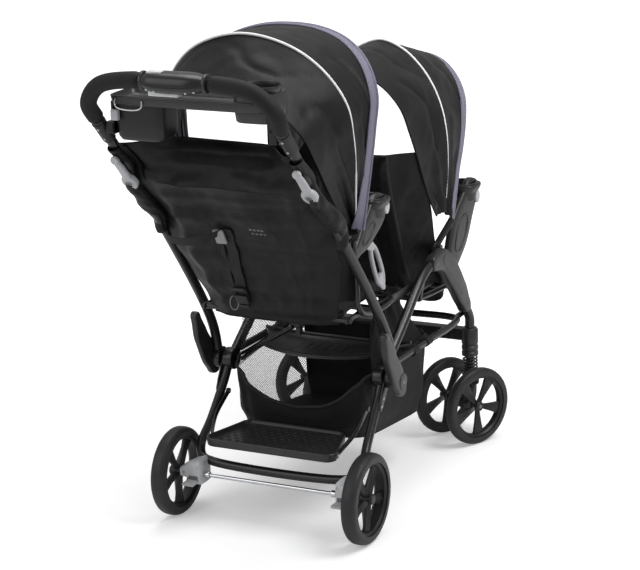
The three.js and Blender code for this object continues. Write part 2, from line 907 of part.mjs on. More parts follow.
const cushionCrown = 8;
piece(
  "rear_seat_pad",
  cushion(
    point(0, rearPadRearY, rearPadZ),
    point(0, rearPadFrontY, rearPadZ),
    rearPadHalfWidth,
    rearPadThickness,
    cushionCrown,
  ),
  fabric,
);
piece(
  "rear_seat_back",
  cushion(
    point(0, rearSeatPivotY, rearSeatPivotZ),
    point(0, rearBackTopY, rearBackTopZ),
    rearBackHalfWidth,
    rearBackThickness,
    cushionCrown,
  ),
  fabric,
);
piece(
  "front_seat_back",
  cushion(
    point(0, frontSeatPivotY, frontSeatPivotZ),
    point(0, frontBackTopY, frontBackTopZ),
    frontBackHalfWidth,
    frontBackThickness,
    cushionCrown,
  ),
  fabric,
);
piece(
  "front_seat_pad",
  join(
    cushion(
      point(0, frontPadRearY, frontPadZ),
      point(0, frontPadFrontY, frontPadZ),
      frontBackHalfWidth,
      frontPadThickness,
      cushionCrown,
    ),
    block(
      point(0, frontPadFrontY + frontPadThickness / 2, frontPadZ - calfLength / 2 + frontPadThickness / 2),
      1.8 * frontBackHalfWidth,
      frontPadThickness / 2,
      calfLength,
    ),
  ),
  fabric,
);

// Rear seat frame: a U of tube under the seat, a cross bar behind it and lugs that reach the frame tubes

const seatFrameFrontY = rearPadFrontY + 2 * seatTubeRadius;
const seatFrameZ = rearPadZ - seatTubeRadius - seatGap;
const seatFrameRearY = rearSeatPivotY - seatFrameBehindPivot;
const seatFramePath = [];
for (const sign of [-1, 1]) {
  const half = [
    point(sign * seatFrameX, rearCanopyHingeY, rearCanopyHingeZ - hingeDiscRadius),
    point(sign * seatFrameX, mix(rearCanopyHingeY, seatFrameRearY, 0.5), mix(rearCanopyHingeZ, seatFrameZ, 0.5)),
    point(sign * seatFrameX, seatFrameRearY, seatFrameZ + seatFrameBend),
    point(sign * seatFrameX, mix(seatFrameRearY, seatFrameFrontY, 0.3), seatFrameZ),
    point(sign * seatFrameX, seatFrameFrontY + seatFrameBend, seatFrameZ),
    point(sign * (seatFrameX - seatFrameBend), seatFrameFrontY, seatFrameZ),
  ];
  if (sign > 0) half.reverse();
  seatFramePath.push(...half);
}
const seatCrossY = rearSeatPivotY - seatGap;
const seatCrossZ = rearSeatPivotZ - seatTubeRadius - seatGap;
const seatCross = bar(
  point(-seatFrameX, seatCrossY, seatCrossZ),
  point(seatFrameX, seatCrossY, seatCrossZ),
  seatTubeRadius,
);
const lugEndZ = seatFrameZ - lugDrop;
const lugEndY = hubY - (lugEndZ - hubZ) / Math.tan(slope);
const seatLugs = sides.map(({ sign }) => {
  const frontLine = [
    [lugY + lugOverlap, seatFrameZ],
    [lugY, seatFrameZ - lugDrop / 2],
    [lugEndY, lugEndZ],
  ];
  const rearLine = [
    [rearSeatPivotY + seatTubeRadius, rearSeatPivotZ - seatTubeRadius],
    [seatFrameRearY - seatTubeRadius, seatFrameZ + rearLugRise],
  ];
  const outer = frameX - tubeRadius - seatGap;
  const low = sign > 0 ? outer - lugThickness : -outer;
  const frontLug = bandOutline(frontLine, [lugHalfWidth, lugHalfWidth, lugHalfWidth], 4);
  const rearLug = bandOutline(rearLine, [seatTubeRadius, seatTubeRadius], 2);
  return join(sidePlate(frontLug, low, low + lugThickness), sidePlate(rearLug, low, low + lugThickness));
});
piece("rear_seat_frame", join(bentTube(seatFramePath, seatTubeRadius, 24), seatCross, ...seatLugs), black);

// Front seat frame: two cross bars and side bars under the seat, hung from the frame tubes

const frontFrameZ = frontPadZ - seatTubeRadius - seatGap;
const frontRearBarZ = frontSeatPivotZ - seatTubeRadius - seatGap;
const frontSideX = frontBackHalfWidth + seatTubeRadius + frontBarGap;
const frontHalfSpan = archInnerX - seatGap;

const crossEnds = sides.map(({ sign }) => point(sign * frontHalfSpan, frontCrossY, frontFrameZ));
const pivotEnds = sides.map(({ sign }) => point(sign * frontSideX, frontSeatPivotY, frontRearBarZ));
const frontBars = [bar(...crossEnds, seatTubeRadius), bar(...pivotEnds, seatTubeRadius)];
sides.forEach(({ sign }, i) => {
  frontBars.push(bar(point(sign * frontSideX, frontCrossY, frontFrameZ), pivotEnds[i], seatTubeRadius));
  frontBars.push(bar(pivotEnds[i], point(sign * frontHalfSpan, hangY, hangZ), seatTubeRadius));
});
piece("front_seat_frame", cut(join(...frontBars), frameBore(-1), frameBore(1)), black);

// Child trays: a bar across the seat with a cup well at its right end and an arm at each end

function childTray(name, trayY, trayZ, armFootY, armFootZ, armHalfWidth, pinEndX) {
  const middle = point(0, trayY, trayZ - childTrayHeight / 2);
  const top = block(middle, 2 * (childTrayHalfWidth + trayOverhang), childTrayDepth, childTrayHeight);
  const cupX = childCupRadius + childCupInset - childTrayHalfWidth;
  const cupBottom = point(cupX, trayY, trayZ - childCupDepth);
  const wellBottom = point(cupX, trayY, trayZ - childCupDepth + childCupWall);
  const cup = bar(cupBottom, point(cupX, trayY, trayZ), childCupRadius + childCupWall, 16);
  const well = bar(wellBottom, point(cupX, trayY, trayZ + cutOverrun), childCupRadius, 16);
  const arms = sides.map(({ sign }) => {
    const line = [
      [armFootY, armFootZ],
      [mix(armFootY, trayY, 0.45), mix(armFootZ, trayZ, 0.6)],
      [trayY, trayZ - childTrayHeight],
    ];
    const outline = bandOutline(line, trayArmWidthShares.map((share) => armHalfWidth * share), 8);
    const outer = sign * childTrayHalfWidth;
    const inner = sign * (childTrayHalfWidth - trayArmThickness);
    const plate = sidePlate(outline, Math.min(outer, inner), Math.max(outer, inner));
    const pin = bar(point(inner, armFootY, armFootZ), point(sign * pinEndX, armFootY, armFootZ), trayPinRadius, 10);
    return join(plate, pin);
  });
  piece(name, cut(join(top, cup, ...arms), well, frameBore(-1), frameBore(1)), blackPlastic);
}

const rearPinEndX = childTrayHalfWidth + seatGap;
const frontPinEndX = archInnerX - seatGap;
childTray(
  "rear_child_tray",
  rearTrayY,
  rearTrayZ,
  rearArmFootY,
  rearArmFootZ,
  rearArmHalfWidth,
  rearPinEndX,
);
childTray(
  "front_child_tray",
  frontTrayY,
  frontTrayZ,
  frontArmFootY,
  frontArmFootZ,
  frontArmHalfWidth,
  frontPinEndX,
);

// Canopies: a fabric skin over three bows, and a front bow band that swings on hinge discs

const rearCanopyBows = [
  { degrees: 46, height: rearHemHeight, squareness: 4, flare: rearHemFlare },
  { degrees: 75, height: rearMiddleHeight, squareness: 2.13, flare: rearMiddleFlare },
  { degrees: 113, height: rearFrontHeight, squareness: 1.75, flare: rearFrontFlare },
];
const frontCanopyBows = [
  { degrees: 71, height: frontHemHeight, squareness: 2.3, flare: frontHemFlare },
  { degrees: 103, height: frontMiddleHeight, squareness: 1.75, flare: frontMiddleFlare },
  { degrees: 128.5, height: frontFrontHeight, squareness: 2.05, flare: frontFrontFlare },
];
const canopyRows = 6;
const canopyColumns = 16;
const canopyArcShare = 0.35;
const canopyStartShare = 0.024;
const bowStartShare = 0.01;
const bowArmTopShare = 0.03;
const bowArmShare = 0.5;
const bowClearDegrees = 0.1;

function bowPoint(hinge, bow, degrees, share, inset) {
  const around = Math.PI * share;
  const c = Math.cos(around);
  const s = Math.sin(around);
  const power = 2 / bow.squareness;
  const x = -(canopyBaseHalf + bow.flare * s - inset) * Math.sign(c) * Math.abs(c) ** power;
  const rise = (bow.height - inset) * Math.abs(s) ** power;
  return point(x, hinge.y + rise * Math.cos(radians(degrees)), hinge.z + rise * Math.sin(radians(degrees)));
}

function fabricPoint(hinge, bows, along, share, inset) {
  const first = Math.min(Math.floor(along), bows.length - 2);
  const rest = along - first;
  const between = {};
  for (const key of Object.keys(bows[0])) between[key] = mix(bows[first][key], bows[first + 1][key], rest);
  const [start, end, arc] = [bows[first], bows[first + 1], between].map((bow) =>
    bowPoint(hinge, bow, bow.degrees, share, inset),
  );
  return start.lerp(end, rest).lerp(arc, canopyArcShare);
}

function canopy(name, hinge, bows) {
  const make = (inset) => (r, c) => {
    const share = mix(canopyStartShare, 1 - canopyStartShare, c);
    return fabricPoint(hinge, bows, r * (bows.length - 1), share, inset);
  };
  const outer = grid(canopyRows, canopyColumns, make(0));
  const inner = grid(canopyRows, canopyColumns, make(canopySkin));
  piece(name, sheet(outer, inner), fabric);
}

function bandDegrees(bow, share, acrossShare) {
  const rise = bow.height * Math.sin(Math.PI * share) ** (2 / bow.squareness);
  const spread = THREE.MathUtils.radToDeg(Math.atan2(bowBandWidth, rise + hingeDiscRadius));
  return bow.degrees + bowClearDegrees + spread * acrossShare;
}

function canopyBow(name, hinge, bow) {
  const make = (inset) => (r, c) => {
    const share = mix(bowStartShare, 1 - bowStartShare, c);
    return bowPoint(hinge, bow, bandDegrees(bow, share, r), share, inset);
  };
  const strap = sheet(grid(1, canopyColumns, make(0)), grid(1, canopyColumns, make(bowThickness)));
  const ends = [bowArmTopShare, 1 - bowArmTopShare].map((share) => {
    const top = bowPoint(hinge, bow, bandDegrees(bow, share, 0.5), share, bowThickness / 2);
    const foot = point(Math.sign(top.x) * (canopyBaseHalf - hingeDiscWidth / 2), hinge.y, hinge.z);
    return join(bar(foot, top, bowThickness * bowArmShare, 6), disc(foot, hingeDiscRadius, hingeDiscWidth, 14));
  });
  piece(name, join(strap, ...ends), band);
}

const rearHinge = point(0, rearCanopyHingeY, rearCanopyHingeZ);
const frontHinge = point(0, frontCanopyHingeY, frontCanopyHingeZ);
canopy("rear_canopy", rearHinge, rearCanopyBows);
canopy("front_canopy", frontHinge, frontCanopyBows);
canopyBow("rear_canopy_bow", rearHinge, rearCanopyBows[2]);
canopyBow("front_canopy_bow", frontHinge, frontCanopyBows[2]);

// Push tubes, fold castings, latches and the handle

for (const { name, sign } of sides) {
  const path = [
    point(sign * pushHubX, hubY, hubZ),
    point(sign * pushHubX, pushBendY, pushBendZ),
    point(sign * mix(pushHubX, pushTopX, 0.5), pushMiddleY, pushMiddleZ),
    point(sign * pushTopX, pushTopY, pushTopZ),
    point(sign * pushTopX, sleeveJointY, sleeveJointZ),
  ];
  const eye = disc(point(sign * pushHubX, hubY, hubZ), hubDiscRadius, 2 * pushTubeRadius);
  const hole = disc(point(sign * pushHubX, hubY, hubZ), hubPinRadius + runningGap, 4 * pushTubeRadius, 12);
  piece(`push_tube_${name}`, cut(join(bentTube(path, pushTubeRadius, 12), eye), hole), black);

  const inner = pushHubX + pushTubeRadius + seatGap;
  const castingLine = castingRunShares.map((share, i) => [
    hubY + castingRun * share,
    hubZ + castingRise * castingRiseShares[i],
  ]);
  const outline = bandOutline(castingLine, castingWidthShares.map((share) => castingHalfWidth * share), 10);
  const lowX = sign > 0 ? inner : -inner - castingThickness;
  piece(`hub_casting_${name}`, sidePlate(outline, lowX, lowX + castingThickness), blackPlastic);
}

// Handle bar: one steel bow in plastic sleeves, with a foam grip each side of the trigger housing

function handlePoint(sign, share) {
  const route = [
    point(sign * pushTopX, sleeveJointY, sleeveJointZ),
    point(sign * pushTopX, gripEndY, gripEndZ),
    point(sign * handleCornerX, handleCornerY, handleCornerZ),
    point(sign * handleShoulderX, handleShoulderY, handleShoulderZ),
    point((sign * housingLength) / 2, handleTopY, handleTopZ),
    point(0, handleTopY, handleTopZ),
  ];
  return new THREE.CatmullRomCurve3(route, false, "centripetal").getPoint(share);
}

const handleSteps = 18;
const handleBarSteps = 24;
const sleeveStartShare = 0.0017;
const gripStartShare = 0.2;
const gripEndShare = 0.78;

function handlePath(sign, fromShare, toShare, steps) {
  const points = [];
  for (let i = 0; i <= steps; i++) points.push(handlePoint(sign, mix(fromShare, toShare, i / steps)));
  return points;
}

const barPoints = handlePath(-1, sleeveStartShare, 1, handleSteps).concat(
  handlePath(1, sleeveStartShare, 1, handleSteps).reverse().slice(1),
);
const handleSleeves = sides.map(({ sign }) =>
  bentTube(handlePath(sign, sleeveStartShare, gripStartShare, 3), lockSleeveRadius, 3, 10),
);
piece("handle_bar", join(bentTube(barPoints, gripBarRadius, handleBarSteps), ...handleSleeves), black);
const handleBore = bentTube(barPoints, gripBarRadius + foamGap, handleBarSteps);
const gripClearShare = 0.01;

for (const { name, sign } of sides) {
  const path = handlePath(sign, gripStartShare + gripClearShare, gripEndShare, 12);
  piece(`foam_grip_${name}`, cut(bentTube(path, gripRadius, 8, 10), handleBore), foam);
}

// Trigger housing: a moulded box round the bar, with a squeeze trigger below and a thumb button on top

const housingPowerShare = 0.55;
const housingDropShare = 0.06;

function housingRing(x, scale) {
  const ring = [];
  const around = 14;
  for (let i = 0; i < around; i++) {
    const angle = (2 * Math.PI * i) / around;
    const power = housingPowerShare;
    const cy = Math.sign(Math.cos(angle)) * Math.abs(Math.cos(angle)) ** power;
    const cz = Math.sign(Math.sin(angle)) * Math.abs(Math.sin(angle)) ** power;
    const bow = handlePoint(Math.sign(x), 1 - (Math.abs(x) / housingLength) * (1 - gripEndShare));
    const middleZ = bow.z - housingHeight * housingDropShare;
    ring.push(point(x, bow.y + (cy * housingDepth * scale) / 2, middleZ + (cz * housingHeight * scale) / 2));
  }
  return ring;
}

const housingRings = [];
const housingStationShares = [-0.5, -0.44, -0.3, -0.1, 0.1, 0.3, 0.44, 0.5];
const housingScaleShares = [0.84, 0.93, 1, 1.03, 1.03, 1, 0.93, 0.84];
housingStationShares.forEach((station, i) => {
  housingRings.push(housingRing(station * housingLength, housingScaleShares[i]));
});
const housingBottomZ = handleTopZ - housingHeight * (0.5 + housingDropShare);
const housingTopZ = handleTopZ + housingHeight * (0.5 - housingDropShare);
const triggerX = triggerLength * 0.35;
const triggerPocket = block(
  point(triggerX, handleTopY, housingBottomZ),
  triggerLength + 2 * runningGap,
  triggerDepth + 2 * runningGap,
  2 * triggerHeight,
);
const buttonPocket = block(
  point(thumbButtonX, handleTopY + thumbButtonSetback, housingTopZ),
  thumbButtonLength + 2 * runningGap,
  thumbButtonDepth + 2 * runningGap,
  2 * thumbButtonHeight,
);
piece("trigger_housing", cut(loft(housingRings), handleBore, triggerPocket, buttonPocket), blackPlastic);
piece(
  "squeeze_trigger",
  block(
    point(triggerX, handleTopY, housingBottomZ - triggerHeight * 0.15),
    triggerLength,
    triggerDepth,
    triggerHeight,
  ),
  greyPlastic,
);
piece(
  "thumb_button",
  block(
    point(thumbButtonX, handleTopY + thumbButtonSetback, housingTopZ),
    thumbButtonLength,
    thumbButtonDepth,
    thumbButtonHeight,
  ),
  greyPlastic,
);

// Fold latches: grey levers on the rear face of each push tube

const latchShares = [0, 0.35, 0.7, 1];
const latchLiftShares = [1.5, 1.06, 1.06, 1.9];
const latchThicknessShares = [0.45, 0.5, 0.5, 0.35];
for (const { name, sign } of sides) {
  const along = point(0, sleeveJointY - pushTopY, sleeveJointZ - pushTopZ).normalize();
  const outward = point(0, along.z, -along.y);
  const lift = pushTubeRadius + seatGap + latchThickness / 2;
  const line = latchShares.map((share, i) => {
    const at = point(sign * pushTopX, pushTopY, pushTopZ)
      .addScaledVector(along, latchLength * (share - latchBelowShare))
      .addScaledVector(outward, lift * latchLiftShares[i]);
    return [at.y, at.z];
  });
  const outline = bandOutline(line, latchThicknessShares.map((share) => latchThickness * share), 8);
  const lowX = sign * pushTopX - latchWidth / 2;
  piece(`fold_latch_${name}`, sidePlate(outline, lowX, lowX + latchWidth), greyPlastic);
}

// Parent tray between the handle tubes, with a cup well on the right

const trayMiddleY = (trayRearY + trayFrontY) / 2;
const trayBox = block(
  point(0, trayMiddleY, (trayTopZ + trayBottomZ) / 2),
  2 * trayHalfWidth,
  trayRearY - trayFrontY,
  trayTopZ - trayBottomZ,
);
const parentCup = bar(
  point(parentCupX, parentCupY, parentCupBottomZ),
  point(parentCupX, parentCupY, parentCupTopZ),
  parentCupRadius,
  24,
);
const parentWell = bar(
  point(parentCupX, parentCupY, parentCupBottomZ + trayWall),
  point(parentCupX, parentCupY, parentCupTopZ + cutOverrun),
  parentCupRadius - trayWall,
  24,
);
const trayPocketLow = parentCupX + parentCupRadius + trayWall;
const trayPocketHigh = trayHalfWidth - trayWall;
const trayPocket = block(
  point((trayPocketLow + trayPocketHigh) / 2, trayMiddleY, (trayTopZ + trayBottomZ) / 2 + trayWall),
  trayPocketHigh - trayPocketLow,
  trayRearY - trayFrontY - 2 * trayWall,
  trayTopZ - trayBottomZ,
);
const trayClamps = sides.map(({ sign }) => {
  const inner = trayHalfWidth - 2 * trayWall;
  const outer = pushTopX - lockSleeveRadius - seatGap;
  const armHeight = trayBottomZ + trayWall - clampFootZ;
  const armMiddle = point(sign * (trayHalfWidth - trayWall), clampY, clampFootZ + armHeight / 2);
  const footMiddle = point((sign * (inner + outer)) / 2, clampY, clampFootZ + clampFootHeight / 2);
  return join(
    block(armMiddle, 2 * trayWall, clampDepth, armHeight),
    block(footMiddle, outer - inner, clampDepth, clampFootHeight),
  );
});
piece("parent_tray", cut(join(trayBox, parentCup, ...trayClamps), parentWell, trayPocket), blackPlastic);

// Rear legs: a bent U of tube with a flat eye at each hub

const legSteps = 22;
const legCurve = [];
for (const sign of [-1, 1]) {
  const leg = [
    point(sign * legTopX, legHeadY, legHeadZ),
    point(sign * mix(legTopX, legFootX, 0.5), mix(legHeadY, legFootY, 0.5), mix(legHeadZ, legFootZ, 0.5)),
    point(sign * legFootX, legFootY - legBendRun, legFootZ + legBendRise),
    point(sign * (legFootX - legToeIn), crossTubeY - legToeDrop, crossTubeZ + legToeDrop),
    point(sign * crossTubeHalf, crossTubeY, crossTubeZ),
  ];
  if (sign > 0) leg.reverse();
  legCurve.push(...leg);
}
const legEyes = sides.map(({ sign }) => {
  const tail = [mix(hubY, legHeadY, 1.45), mix(hubZ, legHeadZ, 1.45)];
  const line = [[hubY, hubZ], [legHeadY, legHeadZ], tail];
  const widths = [eyeRadius, mix(eyeRadius, eyeTailHalfWidth, 0.5), eyeTailHalfWidth];
  const low = sign * legEyeX - eyeThickness / 2;
  const eye = sidePlate(bandOutline(line, widths, 5), low, low + eyeThickness);
  return join(eye, disc(point(sign * legEyeX, hubY, hubZ), eyeRadius, eyeThickness, 16));
});
const legHoles = sides.map(({ sign }) =>
  disc(point(sign * legEyeX, hubY, hubZ), hubPinRadius + runningGap, eyeThickness + cutOverrun, 12),
);
piece("rear_leg_frame", cut(join(bentTube(legCurve, rearLegRadius, legSteps), ...legEyes), ...legHoles), black);

// Wheel brackets: grey castings that carry the axle below the leg tubes, drawn from the inner end outwards

const bracketOutline = [
  [0, -bracketHeight / 2],
  [bracketWidth, -bracketHeight * 0.24],
  [bracketWidth + bracketNose, -bracketHeight * 0.2],
  [bracketWidth + bracketNose, bracketHeight * 0.14],
  [bracketWidth, bracketHeight * 0.3],
  [bracketChamfer, bracketHeight / 2],
  [0, bracketHeight * 0.4],
];
const legBore = bentTube(legCurve, rearLegRadius + seatGap, legSteps);
for (const { name, sign } of sides) {
  const outline = bracketOutline.map(([x, z]) => new THREE.Vector2(sign * (bracketInnerX + x), z));
  const plate = new THREE.ExtrudeGeometry(new THREE.Shape(outline), { depth: bracketDepth, bevelEnabled: false });
  plate.rotateX(Math.PI / 2);
  plate.translate(0, bracketDepth * bracketRearShare, rearWheelRadius + bracketLift);
  const axleBore = bar(
    point(sign * (bracketInnerX - cutOverrun), 0, rearWheelRadius),
    point((sign * rearTrack) / 2, 0, rearWheelRadius),
    axleRadius + seatGap,
    10,
  );
  piece(`wheel_bracket_${name}`, cut(plate, axleBore, legBore), greyPlastic);
}

// Standing platform: a shallow moulded tray, wider at the rear

function platformRing(inset, z) {
  const ring = [];
  const corners = [
    [-platformHalfFront + inset, platformFrontY + inset],
    [platformHalfFront - inset, platformFrontY + inset],
    [platformHalfRear - inset, platformRearY - inset],
    [-platformHalfRear + inset, platformRearY - inset],
  ];
  const cornerShare = 0.08;
  corners.forEach((corner, i) => {
    const before = corners[(i + 3) % 4];
    const after = corners[(i + 1) % 4];
    ring.push(point(mix(corner[0], before[0], cornerShare), mix(corner[1], before[1], cornerShare), z));
    ring.push(point(mix(corner[0], after[0], cornerShare), mix(corner[1], after[1], cornerShare), z));
  });
  return ring;
}
piece(
  "platform",
  loft([
    platformRing(platformFootInset, platformTopZ - platformDepth),
    platformRing(0, platformTopZ),
    platformRing(platformWall, platformTopZ),
    platformRing(platformWall * 1.3, platformTopZ - platformRim),
  ]),
  blackPlastic,
);

// Platform stays: flat bars from the platform's sides to the rear legs, with a boss at each end

const stayTopY = mix(legHeadY, legFootY, stayTopShare);
const stayTopZ = mix(legHeadZ, legFootZ, stayTopShare);
const stayFootY = platformRearY - stayFootSetback;
const stayFootZ = platformTopZ - platformDepth / 2;
const stayFootShare = (stayFootY + stayBossRadius - platformFrontY) / (platformRearY - platformFrontY);
const platformSideX = mix(platformHalfFront, platformHalfRear, stayFootShare) - platformFootInset / 2 + seatGap;
const legTubeX = mix(legTopX, legFootX, stayTopShare / 2);
const legSideX = legTubeX - rearLegRadius * Math.cos(Math.PI / tubeSides) - 2 * seatGap;
for (const { name, sign } of sides) {
  const line = [
    [stayFootY, stayFootZ],
    [mix(stayFootY, stayTopY, 0.5), mix(stayFootZ, stayTopZ, 0.5)],
    [stayTopY, stayTopZ],
  ];
  const low = sign * stayX - stayThickness / 2;
  const plate = sidePlate(bandOutline(line, line.map(() => stayWidth / 2), 4), low, low + stayThickness);
  const foot = bar(
    point(sign * platformSideX, stayFootY, stayFootZ),
    point(sign * stayX, stayFootY, stayFootZ),
    stayBossRadius,
    10,
  );
  const head = bar(
    point(sign * stayX, stayTopY, stayTopZ),
    point(sign * legSideX, stayTopY, stayTopZ),
    stayBossRadius,
    10,
  );
  piece(`platform_stay_${name}`, join(plate, foot, head), black);
}

// Brake pedals on the wheel brackets

const pedalY = bracketDepth * bracketRearShare + pedalLength / 2 + seatGap;
for (const { name, sign } of sides) {
  const middle = point(sign * (bracketInnerX + bracketWidth / 2), pedalY, rearWheelRadius - pedalDrop);
  piece(`brake_pedal_${name}`, block(middle, pedalWidth, pedalLength, pedalThickness), greyPlastic);
}

// Seat latches: grey looped levers beside the rear tray's arms

for (const { name, sign } of sides) {
  const line = seatLatchShares.map((share) => [
    seatLatchTopY - seatLatchRun * share,
    seatLatchTopZ - seatLatchDrop * share,
  ]);
  const outline = bandOutline(line, seatLatchWidthShares.map((share) => seatLatchHalfWidth * share), 6);
  const inner = sign * (childTrayHalfWidth + seatGap);
  const outer = sign * (childTrayHalfWidth + seatGap + seatLatchThickness);
  piece(`seat_latch_${name}`, sidePlate(outline, Math.min(inner, outer), Math.max(inner, outer)), greyPlastic);
}

export default stroller;
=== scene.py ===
import math

import bmesh
import bpy
from mathutils import Matrix, Vector, noise


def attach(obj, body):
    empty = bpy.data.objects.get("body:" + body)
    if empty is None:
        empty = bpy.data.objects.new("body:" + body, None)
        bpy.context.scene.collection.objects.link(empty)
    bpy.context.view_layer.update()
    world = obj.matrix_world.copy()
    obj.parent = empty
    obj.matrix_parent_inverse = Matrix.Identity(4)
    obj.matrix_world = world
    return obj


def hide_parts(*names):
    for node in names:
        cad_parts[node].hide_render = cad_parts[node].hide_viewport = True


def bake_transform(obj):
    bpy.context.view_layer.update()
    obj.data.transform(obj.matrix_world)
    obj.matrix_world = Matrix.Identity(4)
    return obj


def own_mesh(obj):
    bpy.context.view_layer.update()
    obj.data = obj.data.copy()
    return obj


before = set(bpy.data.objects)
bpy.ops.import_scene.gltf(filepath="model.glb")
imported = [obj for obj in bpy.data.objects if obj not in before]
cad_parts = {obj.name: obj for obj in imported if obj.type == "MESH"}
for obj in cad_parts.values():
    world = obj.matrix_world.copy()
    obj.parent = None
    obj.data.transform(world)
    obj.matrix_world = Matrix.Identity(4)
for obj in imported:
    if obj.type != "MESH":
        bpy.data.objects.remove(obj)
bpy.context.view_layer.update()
SIDES = (("right", -1), ("left", 1))


# Viewpoint. The stroller is seen from behind and above its right rear quarter, through a long lens.
# Sizes are millimetres from the floor under the middle of the rear axle, with the front at -Y.
FRAME_X, FRAME_Y = -13.8, 289.6


def here(x, y, z):
    """A place of the stroller, in the frame's metres."""
    return Vector((x + FRAME_X, y + FRAME_Y, z)) / 1000


def placed(name, data):
    """A new object in the scene."""
    thing = bpy.data.objects.new(name, data)
    bpy.context.scene.collection.objects.link(thing)
    return thing


eye = placed("camera", bpy.data.cameras.new("camera"))
eye.data.sensor_width = 36
eye.data.lens = 118.315
eye.data.clip_end = 60
to_right = Vector((-0.899221, -0.436225, -0.033289))
to_top = Vector((0.093470, -0.265894, 0.959460))
to_back = Vector((-0.427392, 0.859656, 0.279871))
facing = Matrix((to_right, to_top, to_back)).transposed().to_4x4()
eye.matrix_world = Matrix.Translation(here(-2189.2, 4101.5, 1949.2)) @ facing
bpy.context.scene.camera = eye
bpy.context.scene.view_settings.view_transform = "Standard"


# Wheels. Hard black tyres pressed on five-paddle plastic rims, each rim moulded in one with its hub.
# The rear pair turns on the ends of the axle, and each caster carries two smaller wheels.
class Link:
    """A value on its way through a finish's nodes."""

    def __init__(self, finish, socket):
        self.finish = finish
        self.socket = socket

    def maths(self, operation, *values):
        return self.finish.node("Math", {"operation": operation}, dict(enumerate(values)))

    def __add__(self, other):
        return self.maths("ADD", self, other)

    def __mul__(self, other):
        return self.maths("MULTIPLY", self, other)

    def __sub__(self, other):
        return self.maths("SUBTRACT", self, other)

    def __rsub__(self, other):
        return self.maths("SUBTRACT", other, self)

    __radd__ = __add__
    __rmul__ = __mul__


class Finish:
    """One material, with the Principled shader at its end. Its sizes are millimetres."""

    def __init__(self, name, **fixed):
        self.material = bpy.data.materials.new(name)
        self.material.use_nodes = True
        self.tree = self.material.node_tree
        self.shader = next(n for n in self.tree.nodes if n.type == "BSDF_PRINCIPLED")
        for key, value in fixed.items():
            self.shader.inputs[key.replace("_", " ")].default_value = value
        self.place = self.node("TexCoord", {}, {}, "Object")

    def node(self, kind, settings, sockets, output=0):
        made_node = self.tree.nodes.new("ShaderNode" + kind)
        for key, value in settings.items():
            setattr(made_node, key, value)
        for key, value in sockets.items():
            if isinstance(value, Link):
                self.tree.links.new(value.socket, made_node.inputs[key])
            else:
                made_node.inputs[key].default_value = value
        return Link(self, made_node.outputs[output])

    def feed(self, **links):
        for key, value in links.items():
            self.tree.links.new(value.socket, self.shader.inputs[key.replace("_", " ")])
        return self

    def cloud(self, size, detail=2.0, stretch=(1, 1, 1)):
        """Soft noise with blotches about size across, drawn out along an axis by a small stretch."""
        where = self.node("Mapping", {}, {"Vector": self.place, "Scale": stretch})
        return self.node("TexNoise", {}, {"Vector": where, "Scale": 1000 / size, "Detail": detail})

    def steps(self, value, low, high):
        """0 below low, 1 above high."""
        ramp = self.node("ValToRGB", {}, {"Fac": value})
        elements = ramp.socket.node.color_ramp.elements
        for element, position, shade in zip(elements, (low, high), (0, 1)):
            element.position = position
            element.color = (shade, shade, shade, 1)
        return ramp

    def shades(self, factor, dark, light):
        """A colour between two, in linear values."""
        sockets = {0: factor, 6: (*dark, 1), 7: (*light, 1)}
        return self.node("Mix", {"data_type": "RGBA"}, sockets, 2)

    def relief(self, height, depth):
        """Raises the surface by depth where height is 1."""
        sockets = {"Height": height, "Strength": 1.0, "Distance": depth / 1000}
        return self.feed(Normal=self.node("Bump", {}, sockets, "Normal"))


def mixed(name, blotch, dark, light, rough, grain=None, **fixed):
    """A finish whose colour wavers from dark to light in blotches of (size, detail).

    Rough is (size, detail, swing, least) and grain is (size, detail, depth) of its small relief.
    """
    finish = Finish(name, **fixed)
    finish.feed(Base_Color=finish.shades(finish.cloud(*blotch), dark, light))
    size, detail, swing, least = rough
    finish.feed(Roughness=finish.cloud(size, detail) * swing + least)
    if grain:
        finish.relief(finish.cloud(*grain[:2]), grain[2])
    return finish


def mesh_of(name, parts, bevel=0.0, blunt=26.0):
    """One mesh from (points, faces) parts, its hard edges rounded by bevel."""
    points = []
    faces = []
    for part_points, part_faces in parts:
        start = len(points)
        points += [here(*p) for p in part_points]
        faces += [[start + i for i in face] for face in part_faces]
    mesh = bpy.data.meshes.new(name)
    mesh.from_pydata(points, [], faces)
    work = bmesh.new()
    work.from_mesh(mesh)
    bmesh.ops.recalc_face_normals(work, faces=work.faces)
    if bevel:
        least = math.radians(blunt)
        hard = [e for e in work.edges if len(e.link_faces) == 2 and e.calc_face_angle() > least]
        settings = {"segments": 3, "profile": 0.6, "affect": "EDGES", "clamp_overlap": True}
        bmesh.ops.bevel(work, geom=hard, offset=bevel / 1000, **settings)
    work.to_mesh(mesh)
    work.free()
    return mesh


def solved(piece):
    """The mesh that a piece's modifiers give. They are then taken off."""
    graph = bpy.context.evaluated_depsgraph_get()
    mesh = bpy.data.meshes.new_from_object(piece.evaluated_get(graph))
    piece.modifiers.clear()
    return mesh


def made(name, finish, body, parts, replaces=(), bevel=0.0, blunt=26.0, crease=34.0, wells=()):
    """A piece of the stroller, moulded from parts, that rides on a body. Wells are cut out of it."""
    mesh = mesh_of(name, parts, bevel, blunt)
    piece = placed(name, mesh)
    if wells:
        core = placed(name + "_core", mesh_of(name + "_core", wells))
        cut = piece.modifiers.new("well", "BOOLEAN")
        cut.operation = "DIFFERENCE"
        cut.object = core
        mesh = solved(piece)
        piece.data = mesh
        bpy.data.objects.remove(core)
    mesh.polygons.foreach_set("use_smooth", [True] * len(mesh.polygons))
    mesh.set_sharp_from_angle(angle=math.radians(crease))
    mesh.materials.clear()
    mesh.materials.append(finish.material)
    if replaces:
        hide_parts(*replaces)
    if body:
        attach(piece, body)
    return piece


